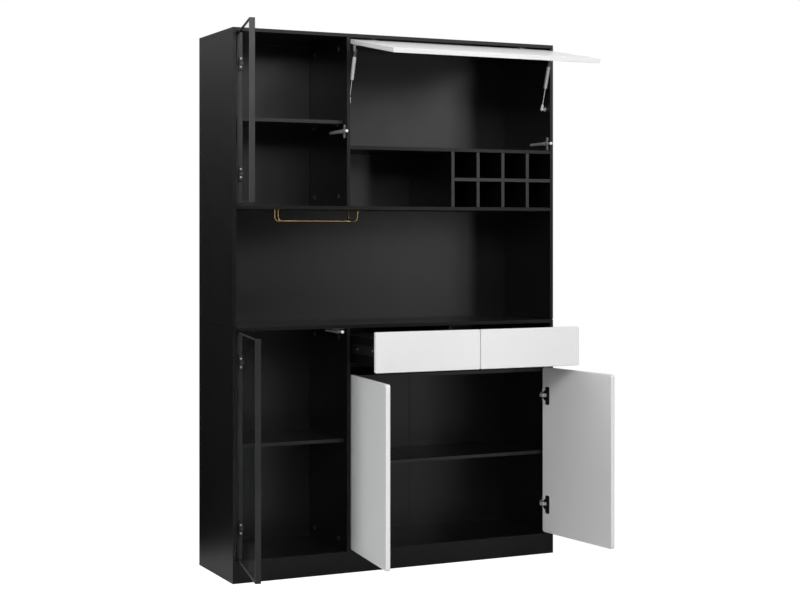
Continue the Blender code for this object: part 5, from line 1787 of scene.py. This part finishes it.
@dataclass
class Drawers(Part):
    """The two drawers, pulled out, and their runners."""

    pulled: float = 0.198
    corner: float = 0.005
    rounding: float = 0.0025
    bottom: float = 0.680
    top: float = 0.813
    side_clearance: float = 0.0127
    box_rise: float = 0.018
    box_drop: float = 0.023
    floor_rise: float = 0.010
    floor_thickness: float = 0.004
    slide_length: float = 0.300
    slide_height: float = 0.035
    sheet: float = 0.0012
    slide_depth: float = 0.0095
    member_depth: float = 0.0055
    play: float = 0.0004
    slide_rise: float = 0.050
    slide_inset: float = 0.002
    box_edge: float = 0.0005
    floor_groove: float = 0.004
    floor_play: float = 0.0002
    screw_inset: float = 0.030
    middle_screw: float = 0.150

    @property
    def slide_middle(self) -> float:
        """The height of the runners' middle line."""
        return self.bottom + self.box_rise + self.slide_rise

    def channel(self, face: float, way: int, depth: float, height: float, low: float, high: float) -> Shape:
        """Returns a rolled channel on a board's face.

        Args:
            face: The face.
            way: The direction away from it along X.
            depth: How far the channel stands out.
            height: Its height.
            low: Where it starts along Y.
            high: Where it ends.

        Returns:
            The channel.
        """
        half, s = height / 2, self.sheet
        out, web = face + way * depth, face + way * s
        outline = [(face, -half), (out, -half), (out, s - half), (web, s - half), (web, half - s), (out, half - s),
                   (out, half), (face, half)]
        points = rounded([(x, self.slide_middle + z) for x, z in outline], s * 0.42, 3)
        return Shape().plate(points, low, high, Plane.XZ, edge=0.0001, steps=1)

    def tray(self, low_x: float, high_x: float, low_y: float, high_y: float) -> tuple[Shape, Shape]:
        """Returns the walls and the floor of a drawer box.

        Args:
            low_x: Its left side.
            high_x: Its right side.
            low_y: Its front end.
            high_y: Its rear end.

        Returns:
            The walls and the floor.
        """
        low, high, t = self.bottom + self.box_rise, self.top - self.box_drop, self.plan.board
        level, groove = low + self.floor_rise, self.floor_groove
        walls = Shape().block((low_x, low_y, low), (low_x + t, high_y, high), self.box_edge)
        walls.block((high_x - t, low_y, low), (high_x, high_y, high), self.box_edge)
        walls.block((low_x + t, high_y - t, level), (high_x - t, high_y, high), self.box_edge)
        floor = Shape().block((low_x + t - groove, low_y + self.floor_play, level),
                              (high_x - t + groove, high_y - t + groove, level + self.floor_thickness))
        return walls, floor

    def build(self) -> None:
        """Makes both drawers and the runners on the cabinet."""
        plan, bench, palette = self.plan, self.bench, self.bench.palette
        start = plan.front + plan.front_thickness
        out = Matrix.Translation((0.0, -self.pulled, 0.0))
        half_gap = plan.pair_gap / 2
        bays = (("left", plan.divider_right, plan.partition_left, plan.divider_right + plan.front_gap,
                 plan.bay_middle - half_gap, Body.LEFT_DRAWER),
                ("right", plan.partition_right, plan.inner_right, plan.bay_middle + half_gap,
                 plan.inner_right - plan.front_gap, Body.RIGHT_DRAWER))
        inner = self.slide_height - 2 * self.sheet - 2 * self.play
        for side, bay_low, bay_high, front_low, front_high, body in bays:
            WhiteFront(bench, side + "_drawer_front", body, (front_low, plan.front, self.bottom),
                       (front_high, start, self.top), self.corner, self.rounding).build(out)
            low_x, high_x = bay_low + self.side_clearance, bay_high - self.side_clearance
            low_y, high_y = start + plan.seat, start + self.slide_length
            walls, floor = self.tray(low_x, high_x, low_y, high_y)
            bench.piece(side + "_drawer_walls", walls, palette.board, body, out, [side + "_drawer_box"])
            bench.piece(side + "_drawer_floor", floor, palette.back, body, out)
            inners, outers, screws = Shape(), Shape(), Shape()
            for face, way in ((low_x, -1), (high_x, 1)):
                inners.add(self.channel(face, way, self.member_depth, inner, low_y + self.slide_inset,
                                        high_y - self.slide_inset))
                for y in (low_y + self.screw_inset, low_y + self.middle_screw, high_y - self.screw_inset):
                    spot = (face + way * self.sheet, y, self.slide_middle)
                    screws.add(Screw(0.0030, 0.0009).shape(), axis_frame(spot, (way, 0.0, 0.0)))
            for face, way in ((bay_low, 1), (bay_high, -1)):
                outers.add(self.channel(face, way, self.slide_depth, self.slide_height, start + self.slide_inset,
                                        start + self.slide_inset + self.slide_length))
            bench.piece(side + "_inner_runners", inners, palette.runner, body, out)
            bench.piece(side + "_runner_screws", screws, palette.screw, body, out)
            bench.piece(side + "_outer_runners", outers, palette.runner, Body.CABINET)


# ---------------------------------------------------------------- setting


@dataclass(frozen=True)
class Lamp:
    """One soft rectangular lamp."""

    name: str
    place: Point
    target: Point
    size: Flat
    watts: float

    def build(self) -> None:
        """Hangs the lamp and turns it to its target."""
        data = bpy.data.lights.new(self.name, "AREA")
        data.shape = "RECTANGLE"
        data.size, data.size_y = self.size
        data.energy = self.watts
        item = bpy.data.objects.new(self.name, data)
        item.location = self.place
        item.rotation_euler = (Vector(self.target) - Vector(self.place)).to_track_quat("-Z", "Y").to_euler()
        bpy.context.scene.collection.objects.link(item)
        LOG.info("hung lamp %s", self.name)


@dataclass
class Studio:
    """The pale floor, the white surround and the lamps."""

    floor_low: Flat = (-3.0, -4.4)
    floor_high: Flat = (3.0, 3.0)
    floor_colours: tuple[Colour, Colour] = ((0.66, 0.66, 0.66), (0.68, 0.68, 0.68))
    floor_cloud_scale: float = 1.5
    floor_roughness: float = 0.7
    mirrored_dark: float = 0.01
    mirrored_rear: Flat = (0.2, 0.6)
    mirrored_profile: tuple[Point, ...] = ((0.02, 0.0, 0.01), (0.10, 0.0, 0.065), (0.20, 0.0, 0.87),
                                           (0.30, 0.0, 1.0), (0.55, 0.0, 1.0), (0.65, 0.9, 0.9))
    mirrored_turn: Flat = (-0.2, 0.2)
    ambient: float = 0.06
    floor_glow: float = 0.97
    shadow_share: float = 0.25
    lamps: tuple[Lamp, ...] = (
        Lamp("ceiling_lamp", (0.0, -0.8, 3.6), (0.0, -0.3, 0.0), (2.0, 1.6), 20.0),
        Lamp("left_far_lamp", (-4.2, 0.4, 1.4), (0.0, -0.4, 0.6), (1.2, 1.8), 49.5),
        Lamp("left_front_lamp", (-3.4, -3.0, 1.6), (0.0, 0.0, 1.0), (1.4, 1.8), 29.0),
        Lamp("key_lamp_left", (-1.6, -4.2, 3.0), (0.0, 0.0, 0.9), (2.0, 1.6), 82.0),
        Lamp("key_lamp_middle", (0.4, -4.2, 3.0), (0.0, 0.0, 0.9), (2.0, 1.6), 44.5),
        Lamp("key_lamp_right", (2.4, -3.6, 2.6), (0.0, 0.0, 0.9), (1.6, 1.6), 25.5),
        Lamp("right_strip_lamp", (2.0, -3.6, 1.2), (0.2, 0.0, 1.0), (0.4, 1.8), 6.2),
        Lamp("outer_strip_lamp", (2.5, -3.3, 1.2), (0.2, 0.0, 1.0), (0.4, 1.8), 2.0),
    )

    def build(self) -> None:
        """Sets the whole stage."""
        self.build_world()
        self.build_floor()
        for lamp in self.lamps:
            lamp.build()

    def build_world(self) -> None:
        """Makes a surround that is white behind the object and plain light on it."""
        world = bpy.data.worlds.new("surround")
        bpy.context.scene.world = world
        world.use_nodes = True
        world.node_tree.nodes.clear()
        nodes = Nodes(world.node_tree)
        path = nodes.add("LightPath").outputs
        split = nodes.add("SeparateXYZ", {"Vector": nodes.add("TexCoord").outputs["Generated"]}).outputs
        profile = nodes.add("ValToRGB", {"Fac": split["Z"]})
        stops = profile.color_ramp.elements
        while len(stops) < len(self.mirrored_profile):
            stops.new(0.5)
        # Red holds what gloss sees in front of the object, green what it sees behind.
        for stop, (height, before, behind) in zip(stops, self.mirrored_profile):
            stop.position = height
            stop.color = (before, behind, 0.0, 1.0)
        levels = nodes.add("SeparateColor", {"Color": profile.outputs["Color"]}).outputs
        start, end = self.mirrored_turn
        turn = nodes.add("MapRange", {"From Min": start, "From Max": end, "To Min": levels["Red"],
                                      "To Max": levels["Green"], "Value": split["Y"]})
        turn.interpolation_type = "SMOOTHSTEP"
        mirrored = nodes.math("MULTIPLY", turn.outputs["Result"], path["Is Glossy Ray"])
        seen = nodes.math("MAXIMUM", path["Is Camera Ray"], path["Is Transmission Ray"])
        either = nodes.math("MAXIMUM", seen, path["Is Glossy Ray"])
        plain, shown = (nodes.add("Background", {"Color": (1.0, 1.0, 1.0, 1.0), "Strength": strength})
                        for strength in (self.ambient, nodes.math("MAXIMUM", seen, mirrored)))
        surface = nodes.mix(either, plain.outputs["Background"], shown.outputs["Background"])
        nodes.add("OutputWorld", {"Surface": surface})
        LOG.info("made the surround")

    def build_floor(self) -> None:
        """Makes a pale floor that keeps a faint shadow."""
        made = bmesh.new()
        made.faces.new([made.verts.new((x, y, 0.0)) for x, y in rectangle(self.floor_low, self.floor_high)])
        mesh = bpy.data.meshes.new("floor")
        made.to_mesh(mesh)
        made.free()
        floor = bpy.data.objects.new("floor", mesh)
        bpy.context.scene.collection.objects.link(floor)
        sheet = Sheet("pale_floor")
        sheet.fill(sheet.shader, {"Base Color": sheet.clouds(self.floor_cloud_scale, *self.floor_colours),
                                  "Roughness": self.floor_roughness})
        path = sheet.add("LightPath").outputs
        glow = sheet.add("Emission", {"Strength": self.floor_glow}).outputs["Emission"]
        faint, dark = (sheet.add("BsdfDiffuse", {"Color": (level, level, level, 1.0)}).outputs["BSDF"]
                       for level in (self.shadow_share, self.mirrored_dark))
        lit = sheet.add("AddShader", {0: glow, 1: faint}).outputs["Shader"]
        depth = sheet.add("SeparateXYZ", {"Vector": sheet.place}).outputs["Y"]
        behind = sheet.math("MULTIPLY", sheet.spread(depth, 0.0, 1.0, *self.mirrored_rear), path["Is Glossy Ray"])
        ground = sheet.mix(behind, sheet.shader.outputs["BSDF"], dark)
        seen = sheet.math("MAXIMUM", path["Is Camera Ray"], path["Is Transmission Ray"])
        sheet.fill(sheet.output, {"Surface": sheet.mix(seen, ground, lit)})
        mesh.materials.append(sheet.material)
        LOG.info("laid the floor")


@dataclass(frozen=True)
class View:
    """The camera at the photograph's viewing angle."""

    place: Point = (-2.362, -5.109, 1.1324)
    pitch_deg: float = 90.0
    heading_deg: float = -25.54
    lens: float = 72.72
    sensor_width: float = 36.0
    shift_y: float = -0.0831

    def build(self) -> None:
        """Sets the camera."""
        data = bpy.data.cameras.new("camera")
        data.lens = self.lens
        data.sensor_width = self.sensor_width
        data.shift_y = self.shift_y
        camera = bpy.data.objects.new("camera", data)
        camera.location = self.place
        camera.rotation_euler = (math.radians(self.pitch_deg), 0.0, math.radians(self.heading_deg))
        bpy.context.scene.collection.objects.link(camera)
        bpy.context.scene.camera = camera
        LOG.info("set the camera")


def clear_scene() -> None:
    """Removes what the startup scene holds."""
    for item in list(bpy.data.objects):
        bpy.data.objects.remove(item, do_unlink=True)


def corners(bounds: tuple[Vector, Vector]) -> list[list[float]]:
    """Returns a box as plain lists of numbers."""
    return [list(corner) for corner in bounds]


def main() -> None:
    """Builds the camera, the sideboard's pieces and the studio, in that order."""
    logging.basicConfig(level=logging.INFO, format="%(message)s", stream=sys.stdout)
    clear_scene()
    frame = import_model()
    View().build()
    bench, plan = Bench(Palette()), Plan()
    Carcass(bench, plan).build(frame["nodes"])
    ShelfPins(bench, plan).build()
    CamLocks(bench, plan).build()
    StemwareRails(bench, plan).build()
    WhiteDoors(bench, plan).build()
    LiftFlap(bench, plan).build()
    GasStruts(bench, plan).build()
    gap = plan.front_gap
    GlassDoor(bench, plan, "upper_glass_door", Body.UPPER_GLASS, low=plan.niche_shelf_top + gap,
              high=plan.top_underside - gap, open_deg=104.3, latch_height=plan.upper_latch).build()
    GlassDoor(bench, plan, "lower_glass_door", Body.LOWER_GLASS, low=plan.bottom_top + gap,
              high=plan.countertop_underside - gap, open_deg=101.5, latch_height=plan.lower_latch).build()
    PushLatches(bench, plan).build()
    Drawers(bench, plan).build()
    Studio().build()
    bpy.context.scene.view_settings.view_transform = "Standard"
    LOG.info("wrote both boxes")


if __name__ == "__main__":
    main()
